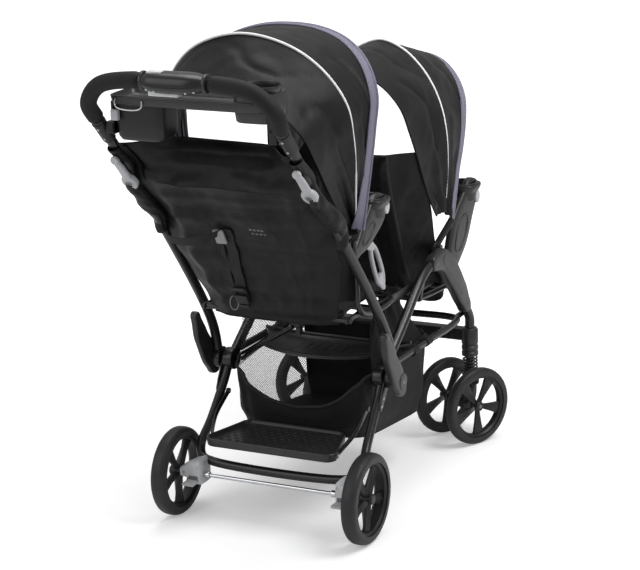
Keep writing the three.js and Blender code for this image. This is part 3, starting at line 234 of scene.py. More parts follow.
def squared(turn, power):
    """Cosine and sine of a turn, on a circle that a power below 1 makes square."""
    return [math.copysign(abs(f) ** power, f) for f in (math.cos(turn), math.sin(turn))]


def skin(rings, around=False):
    """A skin over closed rings of points, capped at both ends unless it runs all the way around."""
    count = len(rings[0])
    points = [tuple(p) for ring in rings for p in ring]
    faces = []
    for r in range(len(rings) if around else len(rings) - 1):
        a = r * count
        b = (r + 1) % len(rings) * count
        faces += [[a + i, a + (i + 1) % count, b + (i + 1) % count, b + i] for i in range(count)]
    if not around:
        faces.append(list(range(count))[::-1])
        faces.append([(len(rings) - 1) * count + i for i in range(count)])
    return points, faces


def turned(profile, centre, axis, steps=40):
    """A lathe shape whose closed profile holds (distance along the axis, radius) pairs."""
    axis = Vector(axis).normalized()
    side = axis.orthogonal().normalized()
    other = axis.cross(side)
    rings = []
    for i in range(steps):
        turn = math.tau * i / steps
        out = side * math.cos(turn) + other * math.sin(turn)
        rings.append([Vector(centre) + axis * along + out * radius for along, radius in profile])
    return skin(rings, around=True)


def ball_nosed(length, radius, round_by):
    """A profile from -length/2 to length/2 whose two rims are rounded."""
    profile = [(-length / 2, 0.05)]
    for end in (-1, 1):
        for i in range(5):
            turn = math.pi / 2 * (i / 4 if end < 0 else 1 - i / 4)
            along = length / 2 - round_by + round_by * math.cos(turn)
            profile.append((end * along, radius - round_by + round_by * math.sin(turn)))
    return [*profile, (length / 2, 0.05)]


rubber = mixed(
    "tyre_rubber",
    (26, 4), (0.012, 0.012, 0.013), (0.030, 0.030, 0.032),
    (14, 3, 0.2, 0.36), (1.4, 3, 0.12), Specular_IOR_Level=0.34,
)
moulding = mixed(
    "black_moulding",
    (60, 3), (0.009, 0.009, 0.010), (0.018, 0.018, 0.019),
    (25, 3, 0.16, 0.32), (0.9, 2, 0.05), Specular_IOR_Level=0.36,
)


def wheel(name, centre, radius, width, depth, axis, body, end, bore):
    """A tyre, depth high and width broad, on a rim with five paddles and a hub."""
    axis = Vector(axis)
    seat = radius - depth
    half = width / 2
    section = []
    for i in range(29):
        turn = math.pi * i / 28
        swell = math.sin(turn) ** 0.5
        groove = 0.8 if i in (7, 21) else 0.0
        along = -half * math.copysign(abs(math.cos(turn)) ** 0.72, math.cos(turn))
        section.append((along, seat + 0.4 + (depth - 0.4) * swell - groove))
    tyre = [turned(section, centre, axis, 96)]
    made("tyre_" + name, rubber, body, tyre, [f"{end}_tyre_{name}"])
    lip = half * 0.8
    seat_ring = [(-lip, seat - 0.5), (-lip, seat - 3), (-lip + 4, seat - 7)]
    seat_ring += [(-along, radius) for along, radius in seat_ring[::-1]]
    hub = [(-lip - 1, bore + 0.5), (-lip - 1, 11), (-lip + 1, 13)]
    hub += [(-along, radius) for along, radius in hub[::-1]]
    parts = [turned(seat_ring, centre, axis, 96), turned(hub, centre, axis, 40)]
    side = axis.orthogonal().normalized()
    for k in range(5):
        out = Matrix.Rotation(math.tau * (k + 0.15) / 5, 3, axis) @ side
        round_way = axis.cross(out)
        sections = []
        for i in range(11):
            t = i / 10
            middle = Vector(centre) + out * (9 + (seat - 5.5 - 9) * t)
            spread = 6.0 + 10.5 * t ** 1.5
            ridge = lip * 0.86 - 4.5 * t
            rim_edge = 2.6 + 1.2 * t
            shoulder = rim_edge + (ridge - rim_edge) * 0.42
            top = [(spread, rim_edge), (spread * 0.45, shoulder), (0, ridge)]
            top += [(-s, a) for s, a in top[1::-1]]
            outline = [(-s, -a) for s, a in top] + top
            sections.append([middle + round_way * s + axis * a for s, a in outline])
        parts.append(skin(sections))
    cap_out = math.copysign(1, Vector(centre).dot(axis)) if end == "rear" else 1
    cap = turned(ball_nosed(6, 12, 2.4), Vector(centre) + axis * cap_out * (lip + 1), axis, 40)
    parts.append(cap)
    made("rim_" + name, moulding, body, parts, [f"{end}_rim_{name}"], crease=24)


REAR_WHEEL_X = 250
REAR_RADIUS = 108
FRONT_RADIUS = 102
TRAIL = 32
ALONG_X = (1, 0, 0)
steer = math.radians(-25.5)
caster_axis = (math.cos(steer), math.sin(steer), 0)
STRUT = (206, -755)


def caster_place(sign, x, y, z):
    """A place given in a caster's own turned frame."""
    return (
        sign * STRUT[0] + x * math.cos(steer) - y * math.sin(steer),
        STRUT[1] + x * math.sin(steer) + y * math.cos(steer),
        z,
    )


for name, sign in SIDES:
    hub = (sign * REAR_WHEEL_X, 0, REAR_RADIUS)
    wheel(name, hub, REAR_RADIUS, 38, 22, ALONG_X, f"rear_wheel_{name}", "rear", 4.5)
    for place, offset in (("outer", sign), ("inner", -sign)):
        hub = caster_place(sign, offset * 59.5, TRAIL, FRONT_RADIUS)
        body = f"front_wheel_{name}_{place}"
        wheel(f"{name}_{place}", hub, FRONT_RADIUS, 28, 20, caster_axis, body, "front", 5)


# Rear axle. A bright steel rod in one length, with a turned collar against each bracket.
chrome = mixed(
    "bright_steel",
    (40,), (0.50, 0.51, 0.53), (0.74, 0.75, 0.77), (6, 3, 0.16, 0.1), Metallic=1.0
)
rod = [(-266.5, 0.05), (-266.5, 4.0), (-266, 4.5), (266, 4.5), (266.5, 4.0), (266.5, 0.05)]
axle = [turned(rod, (0, 0, REAR_RADIUS), ALONG_X, 32)]
axle += [turned(ball_nosed(13, 8.2, 1.2), (sign * 168, 0, REAR_RADIUS), ALONG_X, 32) for _, sign in SIDES]
made("axle_rod", chrome, "rear_legs", axle, ["rear_axle"])


# Push tubes and frame tubes. Round steel tube, bent cold and powder coated satin black.
# A push tube and a frame tube meet at each fold hub, on one pin.
def route(points, share):
    """A place on the smooth line through points, at a share of its spans."""
    points = [Vector(p) for p in points]
    spans = len(points) - 1
    at = min(max(share, 0.0), 1.0) * spans
    first = min(int(at), spans - 1)
    t = at - first
    b = points[first]
    c = points[first + 1]
    a = points[first - 1] if first > 0 else 2 * b - c
    d = points[first + 2] if first + 2 <= spans else 2 * c - b
    ab, bc, cd = (max((q - p).length ** 0.5, 1e-4) for p, q in ((a, b), (b, c), (c, d)))
    leave = ((b - a) / ab - (c - a) / (ab + bc) + (c - b) / bc) * bc
    arrive = ((c - b) / bc - (d - b) / (bc + cd) + (d - c) / cd) * bc
    cubic = (2 * t**3 - 3 * t**2 + 1) * b + (3 * t**2 - 2 * t**3) * c
    return cubic + (t**3 - 2 * t**2 + t) * leave + (t**3 - t**2) * arrive


def bend(points, steps, start=0.0, end=1.0):
    return [route(points, start + (end - start) * i / steps) for i in range(steps + 1)]


def pipe(path, radius, sides=20, flat=1.0):
    """A rod along a path. Radius may be one number or one for each point, and flat squeezes it."""
    path = [Vector(p) for p in path]
    radii = radius if isinstance(radius, list) else [radius] * len(path)
    rings = []
    across = None
    for i, middle in enumerate(path):
        ahead = (path[min(i + 1, len(path) - 1)] - path[max(i - 1, 0)]).normalized()
        if across is None:
            across = Vector((1, 0, 0)) if abs(ahead.x) < 0.9 else Vector((0, 0, 1))
        across = (across - ahead * across.dot(ahead)).normalized()
        up = ahead.cross(across)
        turns = [math.tau * k / sides for k in range(sides)]
        ring = [across * math.cos(turn) + up * math.sin(turn) * flat for turn in turns]
        rings.append([middle + out * radii[i] for out in ring])
    return skin(rings)


painted = mixed(
    "black_powder_coat",
    (50, 3), (0.006, 0.006, 0.007), (0.013, 0.013, 0.014), (9, 3, 0.16, 0.22), (2.2, 2.0, 0.04),
    Specular_IOR_Level=0.4, Coat_Weight=0.18, Coat_Roughness=0.2,
)
HUB = (-205, 336)
PUSH_X = 224
TUBE_X = 202
for name, sign in SIDES:
    run = [(sign * 236, *HUB), (sign * 236, -178, 434), (sign * 230, 46, 740)]
    run += [(sign * PUSH_X, 182, 899), (sign * PUSH_X, 256, 984)]
    ear = turned(ball_nosed(24.6, 27, 2.5), (sign * 236, *HUB), ALONG_X, 48)
    tube = [pipe(bend(run, 64), 12), ear]
    made(f"push_tube_{name}_steel", painted, "handle", tube, [f"push_tube_{name}"])
frame_runs = {}
for name, sign in SIDES:
    arch = (HUB, (-338.3, 426.3), (-471.6, 516.5), (-568, 529), (-653, 459.2))
    run = [(sign * TUBE_X, *spot) for spot in arch]
    run += [(sign * 204, -721, 371), (sign * 206, -755, 321), (sign * 206, -755, 296.3)]
    frame_runs[sign] = run
    ear = turned(ball_nosed(25, 27, 2.5), (sign * TUBE_X, *HUB), ALONG_X, 48)
    pin = turned(ball_nosed(46, 6, 1), (sign * 225, *HUB), ALONG_X, 24)
    tube = [pipe(bend(run, 96), 12.5), ear, pin]
    made(f"frame_tube_{name}_steel", painted, "frame", tube, [f"frame_tube_{name}"])


# Castings. Black glass-filled nylon shells that cover the arch of each frame tube and the outside of
# each fold hub, held by screws.
def casting(line, widths, low, high, power=0.5, steps=36, sides=24):
    """A moulding along a (y, z) line in the side view, between two places in x, all edges rounded."""
    path = [(0, y, z) for y, z in line]
    fine = bend(path, steps)
    total = 0.0
    marks = [0.0]
    for a, b in zip(fine, fine[1:]):
        total += (b - a).length
        marks.append(total)
    spans = len(widths) - 1

    def width_at(share):
        at = min(max(share, 0.0), 1.0) * spans
        first = min(int(at), spans - 1)
        t = at - first
        t = t * t * (3 - 2 * t)
        return widths[first] * (1 - t) + widths[first + 1] * t

    stations = []
    for end, width in ((0, widths[0]), (1, widths[-1])):
        for i in range(7):
            turn = math.pi / 2 * i / 7
            over = width * math.cos(turn)
            scale = max(math.sin(turn), 0.06)
            stations.append((-over if end == 0 else total + over, scale * width))
    for i in range(steps + 1):
        stations.append((marks[i], width_at(i / steps)))
    stations.sort()
    rings = []
    middle_x = (low + high) / 2
    half = abs(high - low) / 2
    for distance, width in stations:
        if distance <= 0:
            way = (fine[1] - fine[0]).normalized()
            centre = fine[0] + way * distance
        elif distance >= total:
            way = (fine[-1] - fine[-2]).normalized()
            centre = fine[-1] + way * (distance - total)
        else:
            i = max(k for k in range(steps) if marks[k] <= distance)
            t = (distance - marks[i]) / (marks[i + 1] - marks[i])
            way = (fine[min(i + 2, steps)] - fine[max(i - 1, 0)]).normalized()
            centre = fine[i].lerp(fine[i + 1], t)
        normal = Vector((0, -way.z, way.y))
        slim = min(1.0, 0.35 + width / half)
        ring = []
        for k in range(sides):
            c, s = squared(math.tau * k / sides, power)
            edge = centre + normal * c * width
            ring.append(Vector((middle_x + s * half * slim, 0, 0)) + edge)
        rings.append(ring)
    return skin(rings)


def screw(place, axis, radius=4.2, rise=1.8):
    """A pan head with a dimpled drive."""
    low = rise * 0.4
    profile = [(-1, 0.05), (-1, radius), (low, radius), (rise, radius * 0.72)]
    profile += [(rise, radius * 0.34), (low, radius * 0.26), (low, 0.05)]
    return turned(profile, place, axis, 20)


dark_zinc = mixed(
    "dark_zinc", (3,), (0.10, 0.10, 0.11), (0.26, 0.26, 0.27), (2, 2.0, 0.2, 0.25), Metallic=1.0
)
zinc = mixed(
    "bright_zinc", (3,), (0.42, 0.42, 0.43), (0.66, 0.66, 0.67), (2, 2.0, 0.2, 0.22), Metallic=1.0
)
satin = mixed(
    "satin_casting",
    (45, 3), (0.014, 0.014, 0.015), (0.026, 0.026, 0.027),
    (20, 3, 0.14, 0.28), (0.8, 2, 0.06), Specular_IOR_Level=0.45,
)
for name, sign in SIDES:
    places = [route(frame_runs[sign], share) for share in (0.36, 0.44, 0.54, 0.64, 0.72)]
    line = [(p.y, p.z) for p in places]
    shell = casting(line, [21, 29, 32, 29, 21], sign * 190, sign * 217.5, 0.42, 48, 32)
    boss = turned(ball_nosed(12, 9, 1), (sign * 192, -596, 550), ALONG_X, 28)
    raised = casting(line[1:4], [15, 19, 15], sign * 214, sign * 218.6, 0.6)
    shell = [shell, boss, raised]
    made(f"arch_bracket_{name}_shell", satin, "frame", shell, [f"arch_bracket_{name}"])
    heads = [screw((sign * 217.2, *line[i]), (sign, 0, 0)) for i in (0, 4)]
    made(f"arch_screws_{name}", dark_zinc, "frame", heads)

for name, sign in SIDES:
    lean = ((0.98, 0.82), (0.72, 0.47), (0.3, 0.1), (0.05, -0.12))
    line = [(HUB[0] + 82 * run, HUB[1] + 152 * rise) for run, rise in lean]
    shell = casting(line, [13, 23, 29, 24], sign * 243, sign * 260.3, 0.4, 44, 32)
    boss = (HUB[0] + 2, HUB[1] - 6)
    shell = [shell, turned(ball_nosed(5, 20, 1.6), (sign * 259.5, *boss), ALONG_X, 48)]
    made(f"hub_casting_{name}_shell", satin, "handle", shell, [f"hub_casting_{name}"])
    outward = (sign, 0, 0)
    heads = [screw((sign * 261.6, *boss), outward, 6, 1.2), screw((sign * 260, *line[0]), outward, 3.6)]
    made(f"hub_screws_{name}", dark_zinc, "handle", heads)


# Fold latches. Grey nylon levers on the rear of each push tube, pressed by hand to free the fold.
# Each has a thumb lobe above and a boss round its dark pivot bolt below.
def oval(centre, way, side, steps=40):
    """A closed line round a centre, with two half axes."""
    turns = [math.tau * i / steps for i in range(steps + 1)]
    return [centre + way * math.cos(turn) + side * math.sin(turn) for turn in turns]


grey = mixed(
    "grey_nylon",
    (30, 3), (0.36, 0.365, 0.38), (0.46, 0.465, 0.48),
    (12, 3, 0.16, 0.34), (0.9, 2.0, 0.05), Specular_IOR_Level=0.5,
)
latch_way = Vector((0, 74, 85)).normalized()
latch_out = Vector((0, latch_way.z, -latch_way.y))
for name, sign in SIDES:
    spots = ((-22, 19), (8, 20), (36, 21), (62, 24))
    pivot = Vector((sign * PUSH_X, 182, 899))
    rests = [pivot + latch_way * run + latch_out * lift for run, lift in spots]
    foot = rests[0]
    line = [(p.y, p.z) for p in rests]
    lever = casting(line, [6, 6.5, 6, 4.5], sign * PUSH_X - 11, sign * PUSH_X + 11, 0.7)
    points, faces = turned(ball_nosed(15, 19, 4.5), foot, latch_out, 44)
    points = [Vector(p) + latch_way * (Vector(p) - foot).dot(latch_way) * 0.25 for p in points]
    tip = turned(ball_nosed(11, 10.5, 4.5), rests[3], latch_out + latch_way * 0.5, 28)
    collar = oval(foot + latch_out * 7.4, Vector((11.5, 0, 0)), latch_way * 13)
    pieces = [lever, (points, faces), tip, pipe(collar, 1.8, 12)]
    latch = f"fold_latch_body_{name}"
    made(f"fold_latch_{name}_lever", grey, latch, pieces, [f"fold_latch_{name}"])
    bolt = screw(foot + latch_out * 7.2, latch_out, 8.0, 1.8)
    made(f"fold_latch_{name}_bolt", dark_zinc, latch, [bolt])


# Casters. A black nylon fork between the two wheels, on a steel stem that turns in the strut sleeve.
# An open coil spring stands between the fork's seat and the sleeve.
spring_steel = mixed(
    "spring_steel",
    (5,), (0.02, 0.02, 0.022), (0.06, 0.06, 0.063), (3, 2.0, 0.2, 0.3),
    Specular_IOR_Level=0.5, Metallic=0.6,
)
CURLS = 7
for name, sign in SIDES:
    body = f"caster_{name}"
    down = Vector((0, 0, -1))
    seat = [(-4, 0.05), (-4, 22), (-2.5, 23), (6, 23), (8, 21.5), (8, 0.05)]
    seat = turned(seat, caster_place(sign, 0, 0, 150), down, 44)
    leg = []
    for i in range(25):
        t = i / 24
        y = TRAIL * t**1.5
        z = 150 - 48 * t - 8 * math.sin(math.pi * t) * 0.3
        depth = 20 - 4 * t
        width = 21 - 3.5 * math.sin(math.pi * t)
        ring = []
        for k in range(28):
            c, s = squared(math.tau * k / 28, 0.55)
            ring.append(caster_place(sign, c * width, y + s * depth * 0.82, z - s * depth * 0.3))
        leg.append(ring)
    hub = caster_place(sign, 0, TRAIL, FRONT_RADIUS)
    knuckle = turned(ball_nosed(42, 16.4, 3), hub, caster_axis, 44)
    rib = turned(ball_nosed(30, 18.4, 2), hub, caster_axis, 44)
    pieces = [seat, skin(leg), knuckle, rib]
    made(f"caster_{name}_fork", moulding, body, pieces, [f"caster_fork_{name}"])
    stem = turned(ball_nosed(121, 11, 1.5), caster_place(sign, 0, 0, 210.5), down, 32)
    axle = turned(ball_nosed(147, 5, 1), hub, caster_axis, 24)
    made(f"caster_{name}_stem", dark_zinc, body, [stem, axle])
    curls = []
    for i in range(CURLS * 24 + 1):
        turn = math.tau * i / 24
        rise = 156.8 + 60.4 * i / (CURLS * 24)
        curls.append((sign * STRUT[0] + 18 * math.cos(turn), STRUT[1] + 18 * math.sin(turn), rise))
    body = f"suspension_{name}"
    wire = [pipe(curls, 2.5, 12)]
    coil = made(f"spring_{name}_coil", spring_steel, body, wire, [f"spring_{name}"])
    foot = here(sign * STRUT[0], STRUT[1], 154.3)
    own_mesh(coil)


# Front crossbar. One black moulding: a box beam with a strut sleeve at each end, open from below,
# where the caster's stem goes in. The frame tubes end in the tops of the sleeves.
def slab(middle, width, depth, height):
    """A plain block for made() to round."""
    x, y, z = middle
    w, d, h = width / 2, depth / 2, height / 2
    low = [(x - w, y - d, z - h), (x + w, y - d, z - h), (x + w, y + d, z - h), (x - w, y + d, z - h)]
    return skin([low, [(a, b, c + height) for a, b, c in low]])


beam = slab((0, -755, 277), 400, 30, 30)
ribs = [slab((x, -739.4, 277), 5, 3, 22) for x in range(-160, 161, 40)]
made("crossbar_beam", moulding, "frame", [beam, *ribs], ["front_crossbar"], bevel=2.6)
for name, sign in SIDES:
    sleeve = [(0, 12.6), (0, 20.5), (1.5, 22), (10, 22), (12, 20.6), (16, 20.6), (18, 22), (26, 22)]
    sleeve += [(28, 20.6), (32, 20.6), (34, 22), (70, 22), (76, 18), (76, 0.05), (64, 0.05), (64, 12.6)]
    sleeve = turned(sleeve, (sign * STRUT[0], STRUT[1], 220), (0, 0, 1), 48)
    made(f"strut_sleeve_{name}", satin, "frame", [sleeve])


# Rear legs. A bent U of black tube whose eyes turn on the fold hubs. Its cross tube runs low behind
# the standing platform.
def mirrored(half, *middle):
    """A line from the right side over the middle to the left, given its left half."""
    return [(-across, *rest) for across, *rest in half] + [*middle, *half[::-1]]


LEG_EYE = 218.5
half = [(206, -194, 321), (207, -175, 292), (210.5, -104.5, 210), (214, -56, 162), (202, -38, 140)]
run = mirrored([*half, (168, -30, 132)])
eyes = []
for name, sign in SIDES:
    strap_line = [HUB, (-175, 292), (-161.5, 272.2)]
    low, high = sign * (LEG_EYE - 3), sign * (LEG_EYE + 3)
    eyes.append(casting(strap_line, [16, 12.5, 9], low, high, 0.7))
    eyes.append(turned(ball_nosed(6, 16, 1), (sign * LEG_EYE, *HUB), ALONG_X, 36))
legs = pipe(bend(run, 180), 11)
made("rear_leg_tube", painted, "rear_legs", [legs, *eyes], ["rear_leg_frame"])
studs = []
for name, sign in SIDES:
    for spot in ((-175, 292), (-163, 275)):
        studs.append(screw((sign * 221, *spot), (sign, 0, 0), 3.6, 1.6))
made("rear_leg_rivets", zinc, "rear_legs", studs)


# Wheel brackets and brake pedals. Pale grey nylon blocks that join each leg to the axle, with a
# darker insert and small screws. The pedal behind each one pushes a pin into the wheel.
pale = mixed(
    "pale_grey_nylon",
    (30, 3), (0.50, 0.515, 0.53), (0.60, 0.61, 0.625),
    (12, 3, 0.14, 0.34), (0.9, 2.0, 0.05), Specular_IOR_Level=0.5,
)
insert_grey = mixed(
    "mid_grey_nylon",
    (9, 3), (0.12, 0.12, 0.13), (0.19, 0.19, 0.20), (5, 2.0, 0.15, 0.4), Specular_IOR_Level=0.4
)
BRACKET_X = 197
bracket_outline = [(0, -31), (38, -14.9), (58, -12.4), (58, 8.7)]
bracket_outline += [(38, 18.6), (30, 24), (8, 31), (0, 24.8)]
for name, sign in SIDES:
    rings = []
    for i in range(9):
        t = i / 8
        round_in = 1 - 0.09 * (2 * abs(t - 0.5)) ** 4
        y = 20.3 - 58 * t
        ring = [
            (sign * (178 + 29 + (x - 29) * round_in), y, 116 + z * round_in)
            for x, z in bracket_outline
        ]
        rings.append(ring)
    bracket = f"wheel_bracket_{name}"
    made(f"{bracket}_block", pale, "rear_legs", [skin(rings)], [bracket], 2.4, 30)
    insert = [slab((sign * BRACKET_X, 20.2, 100), 24, 3.2, 17)]
    made(f"{bracket}_insert", insert_grey, "rear_legs", insert, bevel=1)
    spots = ((184, 131), (184, 92), (222, 116))
    heads = [screw((sign * x, 20.6, z), (0, 1, 0), 3, 1.2) for x, z in spots]
    made(f"{bracket}_screws", zinc, "rear_legs", heads)
    pad = [slab((sign * BRACKET_X, 35.7, 96), 30, 30, 6)]
    pad += [slab((sign * BRACKET_X, 24 + 6.4 * i, 99), 25, 2.4, 1.6) for i in range(4)]
    pedal = f"brake_pedal_{name}"
    made(f"{pedal}_pad", grey, f"brake_{name}", pad, [pedal], bevel=1.3)


# Standing platform. A shallow black tray for the older child's feet, moulded in one with its raised
# rims and rows of short anti-slip dashes. Two flat stays tie its sides up to the legs.
def platform_ring(inset, z, corner=26):
    """The tray's outline at one height: broad at the rear, with round corners."""
    rear, front = 172 - inset, 140 - inset
    back, ahead = 10 - inset, -150 + inset
    radius = max(corner - inset, 4)
    ring = []
    for x, y, start in ((rear, back, 0), (-rear, back, 90), (-front, ahead, 180), (front, ahead, 270)):
        cx = x - math.copysign(radius, x)
        cy = y - math.copysign(radius, y - (-70))
        for i in range(9):
            turn = math.radians(start + 90 * i / 8)
            ring.append((cx + radius * math.cos(turn), cy + radius * math.sin(turn), z))
    return ring


FOOT_Z = 197.4
levels = ((9, 184.2), (3.5, 185.5), (2.2, 188), (0.3, 203), (1.5, 205.6), (4, 206), (6.5, 205))
levels += ((8.5, 200), (12, FOOT_Z), (40, 196.8, 60), (66, 196.6, 90))
rings = [platform_ring(*level) for level in levels]
dashes = []
for row in range(9):
    for column in range(15):
        x = -150 + column * 21.4 + (row % 2) * 10.7
        y = -8 - row * 15.6
        if abs(x) < 152 + y * 0.2:
            dashes.append(slab((x, y, FOOT_Z), 9.5, 2.4, 1.8))
made("platform_tray", satin, "rear_legs", [skin(rings)], ["platform"], crease=60)
made("platform_treads", satin, "rear_legs", dashes, bevel=0.5)
for name, sign in SIDES:
    path = [(165.5, -24, 195), (172, -40, 205), (186, -88, 232), (187, -155.3, 269)]
    path = bend([(sign * x, y, z) for x, y, z in path], 28)
    flat_bar = []
    for i, middle in enumerate(path):
        way = (path[min(i + 1, 28)] - path[max(i - 1, 0)]).normalized()
        wide = way.cross(Vector((1, 0, 0))).normalized() * 7
        thin = Vector((sign * 1.8, 0, 0))
        rear_edge = [middle + wide + thin, middle - wide + thin]
        flat_bar.append([*rear_edge, middle - wide - thin, middle + wide - thin])
    stay = f"platform_stay_{name}"
    bar = [skin(flat_bar)]
    bar.append(turned(ball_nosed(9, 7.4, 1.2), path[0], ALONG_X, 24))
    bar.append(turned(ball_nosed(8, 7, 1.2), path[-1], ALONG_X, 24))
    made(f"{stay}_bar", painted, "rear_legs", bar, [stay], bevel=0.8)
    heads = [screw(path[0] + Vector((sign * 4.6, 0, 0)), (sign, 0, 0), 3.4, 1.4)]
    heads.append(screw(path[-1] + Vector((-sign * 4, 0, 0)), (-sign, 0, 0), 3.4, 1.4))
    made(f"{stay}_rivets", zinc, "rear_legs", heads)


# Lower rails, bench and braces. A U of thin tube from hub to hub carries the basket and a dished
# bench with rolled edges. Two pairs of thin rods under the seats share one sliding clamp.
half = [(204, -260, 348), (204, -459, 342), (204, -658, 336), (189.7, -697, 336)]
rail = mirrored(half, (0, -697, 336))
lugs = [slab((sign * 189.7, -721.5, 336), 8, 67, 14) for _, sign in SIDES]
made("lower_rail_tube", painted, "frame", [pipe(bend(rail, 128), 9)], ["lower_rail"])
made("lower_rail_lugs", painted, "frame", lugs, bevel=1.5)


def closed(upper, lower):
    """A closed skin over two grids of points that face each other."""
    height, width = len(upper), len(upper[0])
    points = [tuple(p) for grid in (upper, lower) for row in grid for p in row]
    size = height * width
    faces = []
    for r in range(height - 1):
        for c in range(width - 1):
            a = r * width + c
            faces.append([a, a + 1, a + width + 1, a + width])
            faces.append([size + a, size + a + width, size + a + width + 1, size + a + 1])
    rim = list(range(width)) + [r * width + width - 1 for r in range(1, height)]
    rim += [(height - 1) * width + c for c in range(width - 2, -1, -1)]
    rim += [r * width for r in range(height - 2, 0, -1)]
    faces += [[a, b, size + b, size + a] for a, b in zip(rim, rim[1:] + rim[:1])]
    return points, faces


def plate(rows, thickness):
    """A plate thickness deep over a grid of points, closed at its edges."""
    height, width = len(rows), len(rows[0])
    grid = [[Vector(p) for p in row] for row in rows]
    lower = []
    for r in range(height):
        below = []
        for c in range(width):
            along = grid[min(r + 1, height - 1)][c] - grid[max(r - 1, 0)][c]
            across = grid[r][min(c + 1, width - 1)] - grid[r][max(c - 1, 0)]
            normal = across.cross(along)
            if normal.length < 1e-6:
                normal = Vector((0, 0, 1))
            below.append(grid[r][c] - normal.normalized() * thickness)
        lower.append(below)
    return closed(grid, lower)


def bench_place(along, u):
    """A place on the bench: along from its rear edge to its front one, u across."""
    bow = 38 * (1 - u * u)
    y = -267.6 + bow + (-392 + 267.6 - bow) * along
    dish = 14 * (1 - u**4) * min(1.0, 5.5 * min(along, 1 - along) + 0.35)
    return ((150 + 51 * along**2) * u, y, 362.3 - dish)


rows = [[bench_place(r / 20, -1 + 2 * c / 40) for c in range(41)] for r in range(21)]
made("bench_seat", satin, "frame", [plate(rows, -5)], ["bench"], crease=50)
rims = []
for end in (0.015, 0.985):
    edge = [bench_place(end, -1 + 2 * c / 48) for c in range(49)]
    rims.append(pipe([(x, y, z + 1.2) for x, y, z in edge], 4.2, 14))
slots = [slab((x, -330, 348.9), 3.2, 52, 1.4) for x in range(-120, 121, 24)]
made("bench_rims", satin, "frame", [*rims, *slots])
braces = []
for x in (0, 13):
    line = [(30, -194 - x, 444), (-60, -150 - x, 470), (-188, -92 - x, 512 - x * 0.3)]
    braces.append(pipe(line, 3.4, 14))
braces.append(pipe(bend([(196, -250, 322), (128, -226, 372), (24, -196, 438)], 30), 5.6, 18))
clamp = [turned(ball_nosed(22, 9.5, 2), (0, -183, 450), (-1, 0.46, 0.5), 28)]
clamp.append(slab((2, -186, 436), 12, 16, 24))
made("seat_braces", painted, "frame", braces)
made("brace_clamp", moulding, "frame", clamp, bevel=1.5)


# Handle. One steel bow in black lock sleeves, with a soft foam grip each side of a glossy housing.
# The housing holds a pale thumb button on top and the squeeze trigger of the fold below.
foam = mixed(
    "foam_rubber",
    (9, 4), (0.010, 0.010, 0.011), (0.019, 0.019, 0.020),
    (6, 3, 0.14, 0.56), (0.7, 3, 0.16), Specular_IOR_Level=0.2,
)
gloss = mixed(
    "gloss_moulding",
    (60, 3), (0.006, 0.006, 0.007), (0.012, 0.012, 0.013), (20, 3, 0.1, 0.27),
    Specular_IOR_Level=0.4, Coat_Weight=0.15, Coat_Roughness=0.2,
)
BAR_Z = 1138
grip_runs = {}
for name, sign in SIDES:
    grip = [(224, 256, 984), (224, 303, 1036), (226, 330, 1076)]
    grip += [(186, 345, 1121), (73, 346, BAR_Z), (0, 346, BAR_Z)]
    grip_runs[sign] = [(sign * x, y, z) for x, y, z in grip]
bar_path = bend(grip_runs[-1], 90, 0.0017, 1) + bend(grip_runs[1], 90, 1, 0.0017)[1:]
made("handle_bow", painted, "handle", [pipe(bar_path, 11)], ["handle_bar"])
for name, sign in SIDES:
    run = grip_runs[sign]
    sleeve_path = bend(run, 14, 0.0017, 0.2)
    radii = [14.6] + [15.5] * 11 + [14.8, 14.4, 13.6]
    way = (sleeve_path[4] - sleeve_path[0]).normalized()
    ring = turned(ball_nosed(5, 16.4, 1), sleeve_path[12], way, 36)
    made(f"lock_sleeve_{name}", moulding, "handle", [pipe(sleeve_path, radii, 28), ring])
    rear = Vector((0, way.z, -way.y))
    heads = [screw(sleeve_path[i] + rear * 15.2, rear, 3, 1.2) for i in (3, 10)]
    made(f"lock_sleeve_{name}_screws", zinc, "handle", heads)
    grip_path = bend(run, 84, 0.21, 0.78)
    radii = [18.5] * 85
    for i, radius in enumerate((14, 16.6, 17.8, 18.3)):
        radii[i] = radii[84 - i] = radius
    sleeve = [pipe(grip_path, radii, 32)]
    made(f"foam_grip_{name}_sleeve", foam, "handle", sleeve, [f"foam_grip_{name}"])


def swell(x):
    """How much of its full section the housing has at a place across the stroller."""
    return 1.06 - 0.4 * (x / 73) ** 4


rings = []
for x in [i * 6.0833 - 73 for i in range(25)]:
    rest = route(grip_runs[math.copysign(1, x)], 1 - abs(x) / 146 * 0.22)
    ring = []
    for k in range(40):
        c, s = squared(math.tau * k / 40, 0.8)
        ring.append((x, rest.y + c * 31 * swell(x), rest.z - 2.64 + s * 22 * swell(x)))
    rings.append(ring)
trigger_well = slab((25.2, 346, 1113.4), 73.2, 21.2, 24)
button_well = slab((42, 354, 1157.4), 35.2, 19.2, 9.2)
wells = [trigger_well, button_well]
housing = [skin(rings)]
made("grip_housing", gloss, "handle", housing, ["trigger_housing"], 0, 26, 50, wells)
seam = []
for x in [i * 6.9 - 69 for i in range(21)]:
    seam.append((x, 346.2 + 30.5 * swell(x), 1129.5 + 5 * (x / 73) ** 2))
made("housing_seam", foam, "handle", [pipe(seam, 0.7, 8)])
end_rings = [turned(ball_nosed(7, 20.4, 1.5), (sign * 76, 346, 1137.2), ALONG_X, 40) for _, sign in SIDES]
made("housing_collars", satin, "handle", end_rings)
spots = ((-57, 369, 1121.5), (-38, 370.6, 1118.5), (38, 370.6, 1118.5), (57, 369, 1121.5))
heads = [screw(spot, (0, 1, -0.6), 2.5, 1.4) for spot in spots]
made("housing_screws", zinc, "handle", heads)
pad = slab((25.2, 346, 1111.6), 72, 20, 12)
